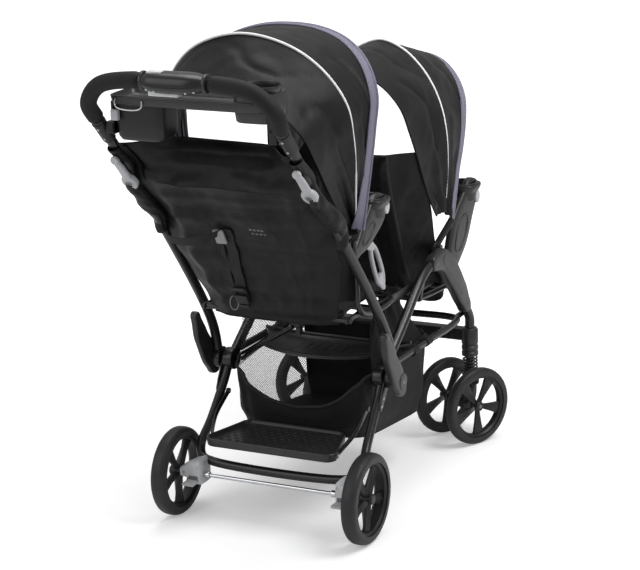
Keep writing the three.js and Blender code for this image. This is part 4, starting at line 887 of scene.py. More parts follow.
made("trigger_bar", pale, "trigger", [pad], ["squeeze_trigger"], bevel=2.6)
cap = slab((42, 354, 1157.4), 34, 18, 5)
made("thumb_button_cap", pale, "button", [cap], ["thumb_button"], bevel=1.8)


# Parent tray. A black moulding clamped between the push tubes: a pocket with a lid catch, and a
# drinks well on the right whose ring stands above a rounded square block.
def lens_ring(x, y, half_x, half_y, z, power=0.3, sides=48):
    """A rounded rectangle of points."""
    ring = []
    for k in range(sides):
        c, s = squared(math.tau * (k + 0.5) / sides, power)
        ring.append((x + c * half_x, y + s * half_y, z))
    return ring


outer = (
    (176, 46, 1070), (184, 53, 1071), (188, 56.5, 1075),
    (191.2, 57.6, 1088), (192, 58, 1090.5), (191, 57, 1092),
)
inner = (
    (146, 54.8, 1092), (144.6, 53.4, 1089), (142, 51, 1080),
    (137, 47, 1076), (110, 30, 1075), (60, 12, 1074.8),
)
shell = [lens_ring(0, 254, *level, power=0.22) for level in outer]
shell = skin(shell + [lens_ring(43, 254, *level, power=0.22) for level in inner])
CUP = (-152, 250)
block = (
    (40, 44, 1046), (43.5, 47, 1049), (45.5, 50, 1070),
    (46, 51, 1102), (44.5, 49, 1107), (40, 43, 1109),
)
cup_block = skin([lens_ring(-150, 250, *level, power=0.42) for level in block])
well = turned([(3.5, 0.05), (3.5, 42), (80, 43), (80, 0.05)], (*CUP, 1046), (0, 0, 1), 48)
arms = []
for name, sign in SIDES:
    arms.append(slab((sign * 189, 282, 1040), 6, 28, 74))
    arms.append(slab((sign * 197, 282, 1017), 22, 28, 26))
made("parent_tray_shell", satin, "handle", [shell], ["parent_tray"], 0, 26, 46, [well])
made("parent_cup_block", satin, "handle", [cup_block], crease=46, wells=[well])
cup_ring = [(58, 38.5), (60, 40), (64, 42.5), (70, 45), (74, 46), (76, 45.4), (76, 43.6), (73, 42.2)]
cup_ring += [(66, 41.6), (20, 41.4), (4.2, 40), (4.2, 0.05), (3.4, 0.05), (3.4, 42), (20, 43), (56, 43)]
made("parent_cup_ring", satin, "handle", [turned(cup_ring, (*CUP, 1046), (0, 0, 1), 64)])
made("parent_tray_arms", moulding, "handle", arms, bevel=2)
catch = [(170, 311, 1086), (170, 315, 1076), (164, 316, 1067)]
catch += [(112, 316, 1065), (104, 315, 1071), (104, 312, 1083)]
made("tray_catch", zinc, "handle", [pipe(bend(catch, 40), 1.7, 12)])
made("tray_clip", grey, "handle", [slab((178, 302, 1048), 18, 12, 24)], bevel=3)
pocket = ((42, 28, 988), (51, 35, 990), (57, 40, 999), (60, 43, 1030), (61, 44, 1071))
pocket = skin([lens_ring(128, 252, *level, power=0.36) for level in pocket])
made("parent_tray_pocket", moulding, "handle", [pocket], crease=46)


# Child trays. A padded-looking black bar across each seat with a drinks well at its right end, on two
# broad side arms. A pin through the foot of each arm lets it sit on the frame.
accent = mixed(
    "pearl_grey_moulding",
    (20, 3), (0.46, 0.47, 0.49), (0.55, 0.56, 0.58), (9, 3, 0.12, 0.3), Specular_IOR_Level=0.5
)
CUP_X = -168
rear_line = [(-102, 662), (-176, 698), (-232, 734)]
front_line = [(-664, 476), (-736, 560), (-812, 640)]
trays = (
    ("rear", (-236, 764), (-102, 662), rear_line, [17, 36, 44], (38, 13), (-268, 737)),
    ("front", (-806, 668), (-648, 478), front_line, [36, 58, 42], (54, 27), (-838, 628)),
)
for end, (y, z), foot, line, widths, (long, broad), badge in trays:
    outer = ((196, 42, z - 22), (208, 46, z - 19), (212.5, 48, z - 9), (213, 48.4, z - 3), (211, 47, z))
    inner = ((205, 42, z), (202, 39.5, z - 3), (196, 35, z - 7), (160, 18, z - 7.4))
    shell = skin([lens_ring(0, y, *ring, power=0.36) for ring in outer + inner])
    well = turned([(-44, 0.05), (-44, 35.5), (12, 36.5), (12, 0.05)], (CUP_X, y, z), (0, 0, 1), 48)
    node = [f"{end}_child_tray"]
    made(f"{end}_tray_top", satin, "frame", [shell], node, 0, 26, 46, [well])
    cup = [(2.5, 36), (3.5, 37.5), (3, 40), (0, 41.5), (-8, 40.5), (-20, 38.8), (-42, 36.5)]
    cup += [(-44, 34), (-44, 0.05), (-41, 0.05), (-41, 33), (-38, 34.6), (-4, 35.8)]
    cup = turned(cup, (CUP_X, y, z), (0, 0, 1), 56)
    made(f"{end}_tray_cup", satin, "frame", [cup])
    for name, sign in SIDES:
        arm = casting(line, widths, sign * 175, sign * 197, 0.5, sides=36)
        pin_end = sign * (186.3 if end == "rear" else 193.7)
        pin_middle = ((sign * 172 + pin_end) / 2, *foot)
        pin = turned(ball_nosed(abs(pin_end) - 172, 6, 1), pin_middle, ALONG_X, 24)
        made(f"{end}_tray_arm_{name}", satin, "frame", [arm, pin])
        way = (Vector((0, *line[2])) - Vector((0, *line[0]))).normalized()
        side = Vector((0, -way.z, way.y))
        middle = Vector((sign * 196.6, *line[1])) - way * 6
        bead = [pipe(oval(middle, way * long, side * broad, 48), 2.2, 12)]
        made(f"{end}_tray_bead_{name}", satin, "frame", bead)
        points, faces = turned(ball_nosed(7, 14.5, 2.2), (sign * 198, *badge), ALONG_X, 44)
        y0, z0 = badge
        points = [(px, y0 + (py - y0) * 0.85, z0 + (pz - z0) * 1.2) for px, py, pz in points]
        made(f"{end}_tray_oval_{name}", accent, "frame", [(points, faces)])


# Seat latches. Grey looped levers beside the rear tray's arms, lifted to take the tray or the front
# seat off the frame.
for name, sign in SIDES:
    low, high = sign * 186.6, sign * 194.3
    way = Vector((0, -58, -115)).normalized()
    side = Vector((0, -way.z, way.y))
    centre = Vector((sign * 190.6, -221, 606))
    loop = []
    for i in range(65):
        u, v = squared(math.tau * i / 64, 0.8)
        loop.append(centre + way * u * 58 + side * v * (17 + 2 * u))
    link = casting([(-140, 684), (-168, 670), (-196, 657)], [9, 11, 12], low, high, 0.7)
    toe = casting([(-244, 566), (-250, 554), (-254, 545)], [16, 15, 9], low, high, 0.7)
    pieces = [link, toe, pipe(loop, 5.6, 16)]
    body = f"seat_latch_body_{name}"
    made(f"seat_latch_{name}_lever", grey, body, pieces, [f"seat_latch_{name}"])


# Seat frames. Thin black tube under each seat: a U that the canopy hinges stand on for the rear seat,
# and two cross bars hung from the frame tubes for the front one.
SEAT_X = 193.5
spots = ((-92, 699), (-101, 599.8), (-110, 530.7), (-173, 500.7), (-290, 500.7))
rear_frame = mirrored([*((SEAT_X, *spot) for spot in spots), (163.5, -320, 500.7)])
cross = pipe([(-SEAT_X, -66.3, 512.7), (SEAT_X, -66.3, 512.7)], 7)
straps = []
for name, sign in SIDES:
    low, high = sign * 183.2, sign * 189.2
    lug_line = [(-226, 500.7), (-286, 496.7), (-436.5, 492.7)]
    straps.append(casting(lug_line, [10, 11, 11], low, high, 0.7))
    straps.append(casting([(-59, 513), (-117, 514.7)], [7, 7], low, high, 0.7))
rear_parts = [pipe(bend(rear_frame, 150), 7), cross, *straps]
made("rear_seat_tube", painted, "frame", rear_parts, ["rear_seat_frame"])
bars = ((193.7, -688, 422.7), (167, -520, 434.7))
front_parts = [pipe([(-x, y, z), (x, y, z)], 7) for x, y, z in bars]
for name, sign in SIDES:
    for line in (((167, -688, 422.7), bars[1]), (bars[1], (193.7, -486, 508))):
        front_parts.append(pipe([(sign * x, y, z) for x, y, z in line], 7))
made("front_seat_tube", painted, "frame", front_parts, ["front_seat_frame"])


# Seat backs and pads. Black satin nylon over foam, quilted in broad channels. The cloth is blown out
# a few millimetres by its filling, which a short cloth simulation gives.
def satin_nylon(name, dark, light, rough):
    """Woven cloth, crumpled a little."""
    cloth = mixed(name, (70, 3), dark, light, (40, 3, 0.14, rough), Specular_IOR_Level=0.22)
    threads = []
    for way in "ZX":
        settings = {"wave_type": "BANDS", "bands_direction": way}
        sockets = {"Vector": cloth.place, "Scale": 420.0, "Distortion": 0.6}
        threads.append(cloth.node("TexWave", settings, sockets, 1))
    cloth.relief((threads[0] + threads[1]) * 0.04 + cloth.cloud(38, 3), 1.3)
    return cloth


nylon = satin_nylon("black_satin_nylon", (0.0062, 0.0056, 0.0060), (0.0105, 0.0095, 0.0100), 0.38)
lining = satin_nylon("black_lining", (0.0045, 0.0043, 0.0045), (0.008, 0.0076, 0.008), 0.55)


def upright(spec):
    """The way that a cushion's top faces."""
    up = Vector((1, 0, 0)).cross(Vector((0, *spec[1])) - Vector((0, *spec[0]))).normalized()
    return up if up.z > 0 else -up


def cushion_place(spec, u, v, above=0.0):
    """A place over a cushion: u across and v from its rear or lower edge, each -1 to 1.

    Above is the height over its top, or None for its underside.
    """
    rear, front, half, thick = spec
    rear, front = Vector((0, *rear)), Vector((0, *front))
    pull = 1 - 0.035 * (1 - v * v) * u * u - 0.035 * (1 - u * u) * v * v
    lift = 0
    if above is not None:
        edge = max((1 - u**6) * (1 - v**6), 0)
        lift = thick * (0.5 + 0.5 * math.sqrt(edge)) + 8 * (1 - u * u) * (1 - v * v) + above
    middle = rear + (front - rear) * (0.5 + 0.5 * v * pull)
    return middle + Vector((u * half * pull, 0, 0)) + upright(spec) * lift


def puffed(piece, cap):
    """Blows a piece out like stuffed cloth, each point by no more than cap metres."""
    block = piece.modifiers.new("voxels", "REMESH")
    block.mode = "VOXEL"
    block.voxel_size = 0.006
    mesh = solved(piece)
    piece.data = mesh
    start = [v.co.copy() for v in mesh.vertices]
    blown = piece.modifiers.new("cloth", "CLOTH")
    blown.settings.use_pressure = True
    blown.settings.uniform_pressure_force = 4
    blown.settings.effector_weights.gravity = 0
    blown.settings.quality = 4
    blown.settings.tension_stiffness = 12
    blown.collision_settings.use_collision = False
    for step in range(1, 21):
        bpy.context.scene.frame_set(step)
    swollen = solved(piece)
    for vertex, before, after in zip(mesh.vertices, start, swollen.vertices):
        move = after.co - before
        if move.length > cap:
            move *= cap / move.length
        vertex.co = before + move
    bpy.context.scene.frame_set(1)
    smooth = piece.modifiers.new("finer", "SUBSURF")
    smooth.levels = 1
    piece.data = solved(piece)


def quilt(piece, spec, lines, depth=4.0, width=6.0):
    """Presses sewn channels into a cushion's top. Lines are (u, v) polylines."""
    drawn = [[cushion_place(spec, u, v) for u, v in line] for line in lines]
    pieces = [(here(*a), here(*b)) for line in drawn for a, b in zip(line, line[1:])]
    up = upright(spec)
    for vertex in piece.data.vertices:
        near = 1.0
        for a, b in pieces:
            ab = b - a
            t = min(max((vertex.co - a).dot(ab) / ab.length_squared, 0), 1)
            off = vertex.co - a - ab * t
            near = min(near, (off - up * off.dot(up)).length + abs(off.dot(up)) * 0.25)
        vertex.co -= up * depth / 1000 * math.exp(-((near * 1000 / width) ** 2))


def cushion(name, spec, finish, body, node, lines, extra=()):
    """A closed cushion over its CAD node's place, blown out and quilted."""
    across = [-1 + 2 * c / 26 for c in range(27)]
    along = [-1 + 2 * r / 30 for r in range(31)]
    top, low = (
        [[cushion_place(spec, u, v, above) for u in across] for v in along]
        for above in (0.0, None)
    )
    piece = made(name, finish, None, [closed(top, low), *extra], [node], crease=180)
    puffed(piece, 0.006)
    piece.data.polygons.foreach_set("use_smooth", [True] * len(piece.data.polygons))
    quilt(piece, spec, lines)
    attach(piece, body)
    return piece


REAR_BACK = ((-66, 520), (132, 968), 170, 24)
REAR_PAD = ((-94, 508), (-332, 508), 163, 32)
FRONT_BACK = ((-520, 444), (-373, 834), 156, 24)
FRONT_PAD = ((-548, 430), (-768, 430), 156, 32)
back_lines = [[(-0.58, -0.95), (-0.55, 0.95)], [(0.58, -0.95), (0.55, 0.95)]]
back_lines += [[(-0.56, v), (0, v - 0.04), (0.56, v)] for v in (-0.55, -0.15, 0.25, 0.62)]
pad_lines = [[(-0.6, -0.95), (-0.62, 0.95)], [(0.6, -0.95), (0.62, 0.95)]]
pad_lines += [[(-0.6, v), (0.6, v)] for v in (-0.1, 0.5)]
cushion("rear_back_cushion", REAR_BACK, nylon, "rear_back", "rear_seat_back", back_lines)
cushion("rear_pad_cushion", REAR_PAD, nylon, "frame", "rear_seat_pad", pad_lines)
cushion("front_back_cushion", FRONT_BACK, nylon, "front_back", "front_seat_back", back_lines)
calf = []
for i in range(15):
    t = i / 14
    half = 142 * (1 - 0.12 * t**3) * min(1, 0.75 + 3 * (1 - t))
    y = -757 - 3 * math.sin(math.pi * t)
    deep = 8 + 3 * math.sin(math.pi * min(t * 1.1, 1))
    calf.append(lens_ring(0, y, half, deep, 447 - 98 * t, power=0.3))
cushion("front_pad_cushion", FRONT_PAD, nylon, "frame", "front_seat_pad", pad_lines, [skin(calf)])


# Harnesses. Black polyester webbing over each seat: two padded shoulder straps, two lap straps and a
# crotch strap, all clipped into one grey buckle.
webbing = mixed(
    "black_webbing",
    (7, 3), (0.010, 0.010, 0.011), (0.022, 0.022, 0.023), (5, 2.0, 0.12, 0.6), Specular_IOR_Level=0.25
)
bands = {"wave_type": "BANDS", "bands_direction": "Z"}
ribs = webbing.node("TexWave", bands, {"Vector": webbing.place, "Scale": 160.0}, 1)
webbing.relief(ribs * 0.5 + webbing.cloud(3), 0.35)


def strap(path, facing_way, width, thick=1.6):
    """Flat webbing along a path. Facing_way is the way that its flat side looks, once or per point."""
    path = [Vector(p) for p in path]
    ways = facing_way if isinstance(facing_way, list) else [facing_way] * len(path)
    edge = [(-1, -0.3), (-0.94, -1), (0.94, -1), (1, -0.3)]
    edge += [(-a, -b) for a, b in edge]
    rings = []
    for i, middle in enumerate(path):
        ahead = (path[min(i + 1, len(path) - 1)] - path[max(i - 1, 0)]).normalized()
        up = Vector(ways[i])
        side = ahead.cross(up).normalized() * width / 2
        up = side.cross(ahead).normalized() * thick / 2
        rings.append([middle + side * a + up * b for a, b in edge])
    return skin(rings)


for end, back, pad in (("rear", REAR_BACK, REAR_PAD), ("front", FRONT_BACK, FRONT_PAD)):
    back_up = (cushion_place(back, 0, 0, 10) - cushion_place(back, 0, 0, 0)).normalized()
    buckle = cushion_place(pad, 0, -0.25, 34)
    parts = []
    pads = []
    for sign in (-1, 1):
        top = [cushion_place(back, sign * 0.26, 0.7 - 0.5 * i / 6, 6) for i in range(7)]
        low = cushion_place(back, sign * 0.2, -0.2, 14)
        parts.append(strap(bend([*top, low, buckle + Vector((sign * 12, 4, 6))], 40), back_up, 25))
        pads.append(strap(bend([p + back_up * 2 for p in top], 24), back_up, 42, 9))
        hip = cushion_place(back, sign * 0.78, -0.86, 4)
        over = hip.lerp(buckle, 0.5) + Vector((0, 0, 12))
        lap = bend([hip, over, buckle + Vector((sign * 18, 0, 0))], 24)
        parts.append(strap(lap, (0, 0.4, 1), 25))
    crotch = bend([cushion_place(pad, 0, 0.12, 0), cushion_place(pad, 0, 0, 20), buckle], 16)
    parts.append(strap(crotch, (0, -1, 0.6), 25))
    webs = made(f"{end}_harness_straps", webbing, None, parts, crease=60)
    here(*buckle)
    here(*cushion_place(back, 0, -0.4, 10))
    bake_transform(webs)
    sleeves = made(f"{end}_shoulder_pads", lining, f"{end}_back", pads, bevel=2.5)
    facing_up = back_up + Vector((0, 0, 0.4))
    shell = turned(ball_nosed(16, 21, 5), buckle, facing_up, 32)
    made(f"{end}_harness_buckle", grey, "frame", [shell])
    button = turned(ball_nosed(5, 11, 1.6), buckle + facing_up.normalized() * 8, facing_up, 28)
    made(f"{end}_buckle_button", insert_grey, "frame", [button])


# Rear panel. Black satin nylon behind the rear seat: a shiny flap that runs from tube to tube under
# the parent tray, over a lower panel that narrows to a bound hem. Both are sewn to the seat back.
def between(table, at):
    """A smooth reading between (position, value) rows."""
    rows = sorted(table)
    for (a, p), (b, q) in zip(rows, rows[1:]):
        if at <= b:
            t = min(max((at - a) / (b - a), 0), 1)
            return p + (q - p) * t * t * (3 - 2 * t)
    return rows[-1][1]


def ripple(x, y, z, size, height):
    """Soft unevenness of cloth, with blotches about size across."""
    return noise.fractal(Vector((x, y, z)) / size, 0.9, 2.1, 3) * height


def sewn(name, finish, body, rows, thickness, replaces=()):
    """A sheet of cloth over a grid of points. Its cut size and area are worked out, and not used."""
    grid = [[Vector(p) for p in row] for row in rows]
    widths = [sum((b - a).length for a, b in zip(row, row[1:])) for row in grid]
    columns = list(zip(*grid))
    lengths = [sum((b - a).length for a, b in zip(column, column[1:])) for column in columns]
    area = 0.0
    for upper, lower in zip(grid, grid[1:]):
        for a, b, c, d in zip(upper, upper[1:], lower[1:], lower):
            area += (b - a).cross(c - a).length / 2 + (c - a).cross(d - a).length / 2
    piece = made(name, finish, body, [plate(rows, thickness)], replaces, crease=60)
    flat = (max(widths) / 1000, max(lengths) / 1000)
    area = min(area / 1e6, flat[0] * flat[1])
    return piece


def stitches(name, finish, body, lines, length=3.4, gap=2.6, thick=0.45):
    """Rows of thread stitches along lines of points."""
    parts = []
    for line in lines:
        line = [Vector(p) for p in line]
        walked = 0.0
        due = 0.0
        for a, b in zip(line, line[1:]):
            span = (b - a).length
            while due < walked + span:
                start = a + (b - a) * ((due - walked) / span)
                way = (b - a).normalized()
                side = way.orthogonal().normalized() * thick
                other = way.cross(side)
                ends = (start, start + way * length)
                parts.append(skin([[p + side, p + other, p - side, p - other] for p in ends]))
                due += length + gap
            walked += span
    return made(name, finish, body, parts)


FLAP_TOP, FLAP_DROP = 967, 95
PANEL_TOP, PANEL_DROP = 925, 422
tube_line = [(984, 256), (899, 182), (740, 46), (434, -178)]
flap_line = [(967, 139), (945, 158), (915, 184), (880, 199), (872, 198)]
lower_line = [(925, 164), (880, 182), (840, 150), (790, 108), (720, 64)]
lower_line += [(676, 40), (600, 4), (541, -30), (503, -50)]
half_line = [(925, 209), (840, 212), (740, 213), (676, 209), (620, 190), (541, 166), (503, 160)]


def ease(share):
    """A share that leaves 0 and reaches 1 softly."""
    share = max(0.0, share)
    return share * share * (3 - 2 * share)


def flap_place(u, t):
    """A place on the flap: u across, t from its upper hem to its lower one."""
    z = FLAP_TOP - FLAP_DROP * t + 4 * u * (1 - t)
    s = ease((abs(u) - 0.45) / 0.55)
    edge = between(tube_line, z) - 4 - 10 * t
    y = between(flap_line, z) * (1 - s) + edge * s
    drift = 3 * noise.noise(Vector((u * 1.7, t * 2, 3)))
    fold = 5.5 * math.sin(5.2 * t + 2.4 * u + drift) * (1 - abs(u) ** 4)
    fold += ripple(u * 210, 0, z, 70, 5) * (1 - abs(u) ** 6)
    return (213 * u, y + fold * min(1, t * 4 + 0.15), z + 3 * math.sin(3 * u + 1) * t)


rows = [[flap_place(-1 + 2 * c / 84, r / 34) for c in range(85)] for r in range(35)]
sewn("rear_flap", nylon, "rear_back", rows, -1.4)
hem_top = pipe(rows[0], 2.2, 10)
hem_low = pipe(rows[-1], 1.8, 10)
made("rear_flap_hems", lining, "rear_back", [hem_top, hem_low])


def lower_place(u, t):
    """A place on the lower panel: u across, t from its top to its hem."""
    z = PANEL_TOP - PANEL_DROP * t - 3 * (1 - u * u) * t**6
    s = ease((abs(u) - 0.7) / 0.3)
    (y_low, z_low), (y_top, z_top) = REAR_BACK[:2]
    back = y_low + (y_top - y_low) * (z - z_low) / (z_top - z_low)
    edge = max(back + 6, min(between(tube_line, z) - 6, between(lower_line, z)))
    y = between(lower_line, z) * (1 - s) + edge * s
    slack = ripple(u * 200, 40, z, 90, 7) + 3.5 * math.sin(7 * u * (1 - t) + 9 * t)
    gather = 4 * math.sin(26 * abs(u) + 3 * t) * max(0, abs(u) - 0.6) * 2.5
    loose = (1 - abs(u) ** 8) * min(1, 6 * (1 - t) + 0.1)
    return (between(half_line, z) * u, y + (slack + gather) * loose, z)


rows = [[lower_place(-1 + 2 * c / 84, r / 76) for c in range(85)] for r in range(77)]
sewn("rear_panel", nylon, "rear_back", rows, -1.4)
made("rear_panel_hem", lining, "rear_back", [pipe(rows[-1], 2.6, 10)])
edges = [pipe([row[c] for row in rows[8:]], 1.8, 10) for c in (0, 84)]
made("rear_panel_edges", lining, "rear_back", edges)


out_way = Vector((0, 0.86, -0.5))


def on_panel(x, z, out):
    """A place that stands out from the lower panel."""
    t = (PANEL_TOP - z) / PANEL_DROP
    return Vector(lower_place(x / between(half_line, z), t)) + out_way * out


thread = mixed(
    "dark_thread",
    (4,), (0.012, 0.012, 0.013), (0.04, 0.04, 0.042), (3, 2.0, 0.1, 0.45), Specular_IOR_Level=0.4
)
seams = [[on_panel(x, 797, 0.9) for x in range(-200, 201, 8)]]
for side in (-1, 1):
    seams.append([on_panel(side * (78 + (797 - z) * 0.12), z, 0.9) for z in range(796, 556, -8)])
seams.append([on_panel(x, 553, 0.9) for x in range(-146, 147, 8)])
stitches("rear_panel_stitches", thread, "rear_back", seams)
ridges = [pipe(line, 0.9, 8) for line in seams[:3]]
made("rear_panel_seams", lining, "rear_back", ridges)
snap = [(0, 0.05), (0, 3.6), (1, 3.4), (1.6, 2.2), (0.9, 1.4), (0.9, 0.05)]
spots = [on_panel(-27 - 10 * i, 757 - 12 * j, 0.8) for i in range(4) for j in range(2)]
snaps = [turned(snap, spot, out_way, 18) for spot in spots]
made("panel_snaps", dark_zinc, "rear_back", snaps)


# Recline strap. Webbing from the left push tube runs to a silver slider, and two tails hang from it
# down the rear panel to a side-release buckle and a steel pull ring.
loop = [(212, 72, 752), (180, 112, 728), (132, 122, 722), (88, 116, 730), on_panel(58, 744, 11)]
tail = [on_panel(42 + i, 752 - 20 * i, 6) for i in range(10)] + [on_panel(54, 548, 8)]
slack_tail = [on_panel(*spot) for spot in ((66, 742, 3.5), (72, 680, 5), (74, 620, 4), (76, 566, 6))]
webs = [strap(bend(line, 40), out_way, 25) for line in (loop, tail)]
webs.append(strap(bend(slack_tail, 30), out_way, 12))
made("recline_straps", webbing, "rear_back", webs)
silver = mixed(
    "silver_nylon",
    (9,), (0.20, 0.20, 0.21), (0.28, 0.28, 0.29), (6, 2.0, 0.14, 0.3), Specular_IOR_Level=0.5
)


def on_back_slab(x, z, out, width, height, thick):
    """A block that lies flat on the rear panel."""
    centre = on_panel(x, z, out)
    up = Vector((0, 0.5, 0.86))
    ring = [(-width, -height), (width, -height), (width, height), (-width, height)]
    layers = []
    for side in (-1, 1):
        level = centre + out_way * (side * thick / 2)
        layers.append([level + Vector((a / 2, 0, 0)) + up * b / 2 for a, b in ring])
    return skin(layers)


slider = [on_back_slab(61, 736, 15, 27, 42, 7)]
made("recline_slider", silver, "rear_back", slider, bevel=3)
blocks = ((52, 594, 11, 30, 9, 8), (55, 566, 12, 32, 26, 9), (56, 545, 11, 24, 9, 7))
clasp = [on_back_slab(*block) for block in blocks]
made("recline_buckle", moulding, "rear_back", clasp, bevel=2)
ring = oval(on_panel(84, 549, 10) + Vector((0, 3, 0)), Vector((11, 0, 0)), Vector((0, 0, 17)))
made("recline_ring", dark_zinc, "rear_back", [pipe(ring, 1.6, 10)])


# Tube wraps. The flap's cloth is turned round each push tube and sewn, with loose folds below the
# fold latch where the spare cloth bunches up.
for name, sign in SIDES:
    rows = []
    for r in range(71):
        t = r / 70
        z = 962 - 236 * t
        y = between(tube_line, z)
        x = PUSH_X + 6 * min(1, max(0, (899 - z) / 159))
        bunch = max(0.0, math.sin(math.pi * (t - 0.3) / 0.7)) if t > 0.3 else 0.0
        row = []
        for c in range(29):
            turn = math.radians(-50 + 250 * c / 28)
            bulge = 14.6 + bunch * (5 + 9 * abs(math.sin(9.5 * t + 1.2)) * max(0, math.cos(turn - 0.6)))
            bulge += ripple(x * sign, y, z + 40 * turn, 30, 3) * min(1, bunch + 0.3)
            wide = math.cos(turn) * bulge
            out = math.sin(turn) * bulge
            row.append((sign * (x + wide), y + out * 0.76, z - out * 0.65))
        for c in range(1, 6):
            last = row[28]
            row.append((last[0] - sign * 4 * c, last[1] + 1.5 * c, last[2]))
        rows.append(row)
    tube = [f"push_tube_{name}"]
    sewn(f"tube_wrap_{name}", nylon, "handle", rows, sign * -1.4)


# Canopies. Black satin nylon stretched over three wire bows, white piping along the middle bow, and a
# lilac-grey edge band with two rows of stitches that tapers down to a hinge disc on each side.
piping_white = mixed(
    "white_piping",
    (12,), (0.80, 0.80, 0.82), (0.90, 0.90, 0.91), (6, 2.0, 0.1, 0.45), Specular_IOR_Level=0.4
)
lilac = mixed(
    "lilac_grey_binding",
    (40, 3), (0.135, 0.130, 0.185), (0.200, 0.192, 0.255), (20, 2.0, 0.14, 0.5),
    Specular_IOR_Level=0.3, Sheen_Weight=0.1,
)
bands = {"wave_type": "BANDS", "bands_direction": "DIAGONAL"}
twill = lilac.node("TexWave", bands, {"Vector": lilac.place, "Scale": 260.0}, 1)
lilac.relief(twill * 0.3 + lilac.cloud(16, 3), 0.5)
pale_thread = mixed(
    "pale_thread",
    (4,), (0.30, 0.30, 0.36), (0.42, 0.42, 0.48), (3, 2.0, 0.1, 0.5), Specular_IOR_Level=0.4
)
BOW_RISE = 540


def bow_place(hinge, bow, share, inset=0.0):
    """A place on a bow: share runs from the right hinge over the top to the left one."""
    x, rise, turn = route(bow, share)
    x -= math.copysign(inset * (1 - rise / BOW_RISE), x)
    rise -= inset * rise / BOW_RISE
    lean = math.radians(turn)
    return Vector((x, hinge[0] + rise * math.cos(lean), hinge[1] + rise * math.sin(lean)))


def fabric_place(hinge, bows, along, share, inset=0.0):
    """Cloth hung between neighbouring bows: mostly the straight line, partly the round one."""
    first = min(int(along), len(bows) - 2)
    rest = along - first
    arc = [Vector(a).lerp(Vector(b), rest) for a, b in zip(bows[first], bows[first + 1])]
    low = bow_place(hinge, bows[first], share, inset)
    high = bow_place(hinge, bows[first + 1], share, inset)
    return low.lerp(high, rest).lerp(bow_place(hinge, arc, share, inset), 0.35)


# Each bow is read as half width, height over the hinge and lean in degrees, from its foot to its top.
canopies = {
    "rear": (
        (-92, 716),
        (
            (186, 9, 46), (188, 72, 46), (192, 144, 46), (198, 216, 46),
            (201, 288, 47), (192, 362, 49), (143, 416, 52), (72, 433, 54),
        ),
        (
            (206, 20, 75), (217, 95, 75), (228, 170, 75), (233, 246, 75),
            (230, 322, 75), (197, 389, 75), (143, 442, 75), (75, 474, 75),
        ),
        (
            (216, 9, 98), (225, 87, 96), (235, 164, 95), (243, 242, 95),
            (245, 320, 96), (211, 388, 99), (151, 436, 102), (78, 462, 103),
        ),
        ((435, 54), (486, 75), (469, 103)),
    ),
    "front": (
        (-596, 550),
        (
            (205, 103, 66), (196, 155, 66), (191, 213, 66), (185, 279, 67),
            (175, 345, 68), (159, 412, 69), (116, 467, 70), (60, 489, 71),
        ),
        (
            (203, 91, 101), (204, 155, 101), (202, 219, 101), (195, 283, 101),
            (179, 344, 101), (151, 401, 101), (111, 451, 101), (61, 490, 101),
        ),
        (
            (207, 80, 128), (199, 149, 128), (190, 219, 128), (184, 288, 128),
            (174, 357, 128), (156, 424, 128), (120, 482, 128), (67, 527, 128),
        ),
        ((494, 71), (510, 101), (546, 128.5)),
    ),
}
hems = {}
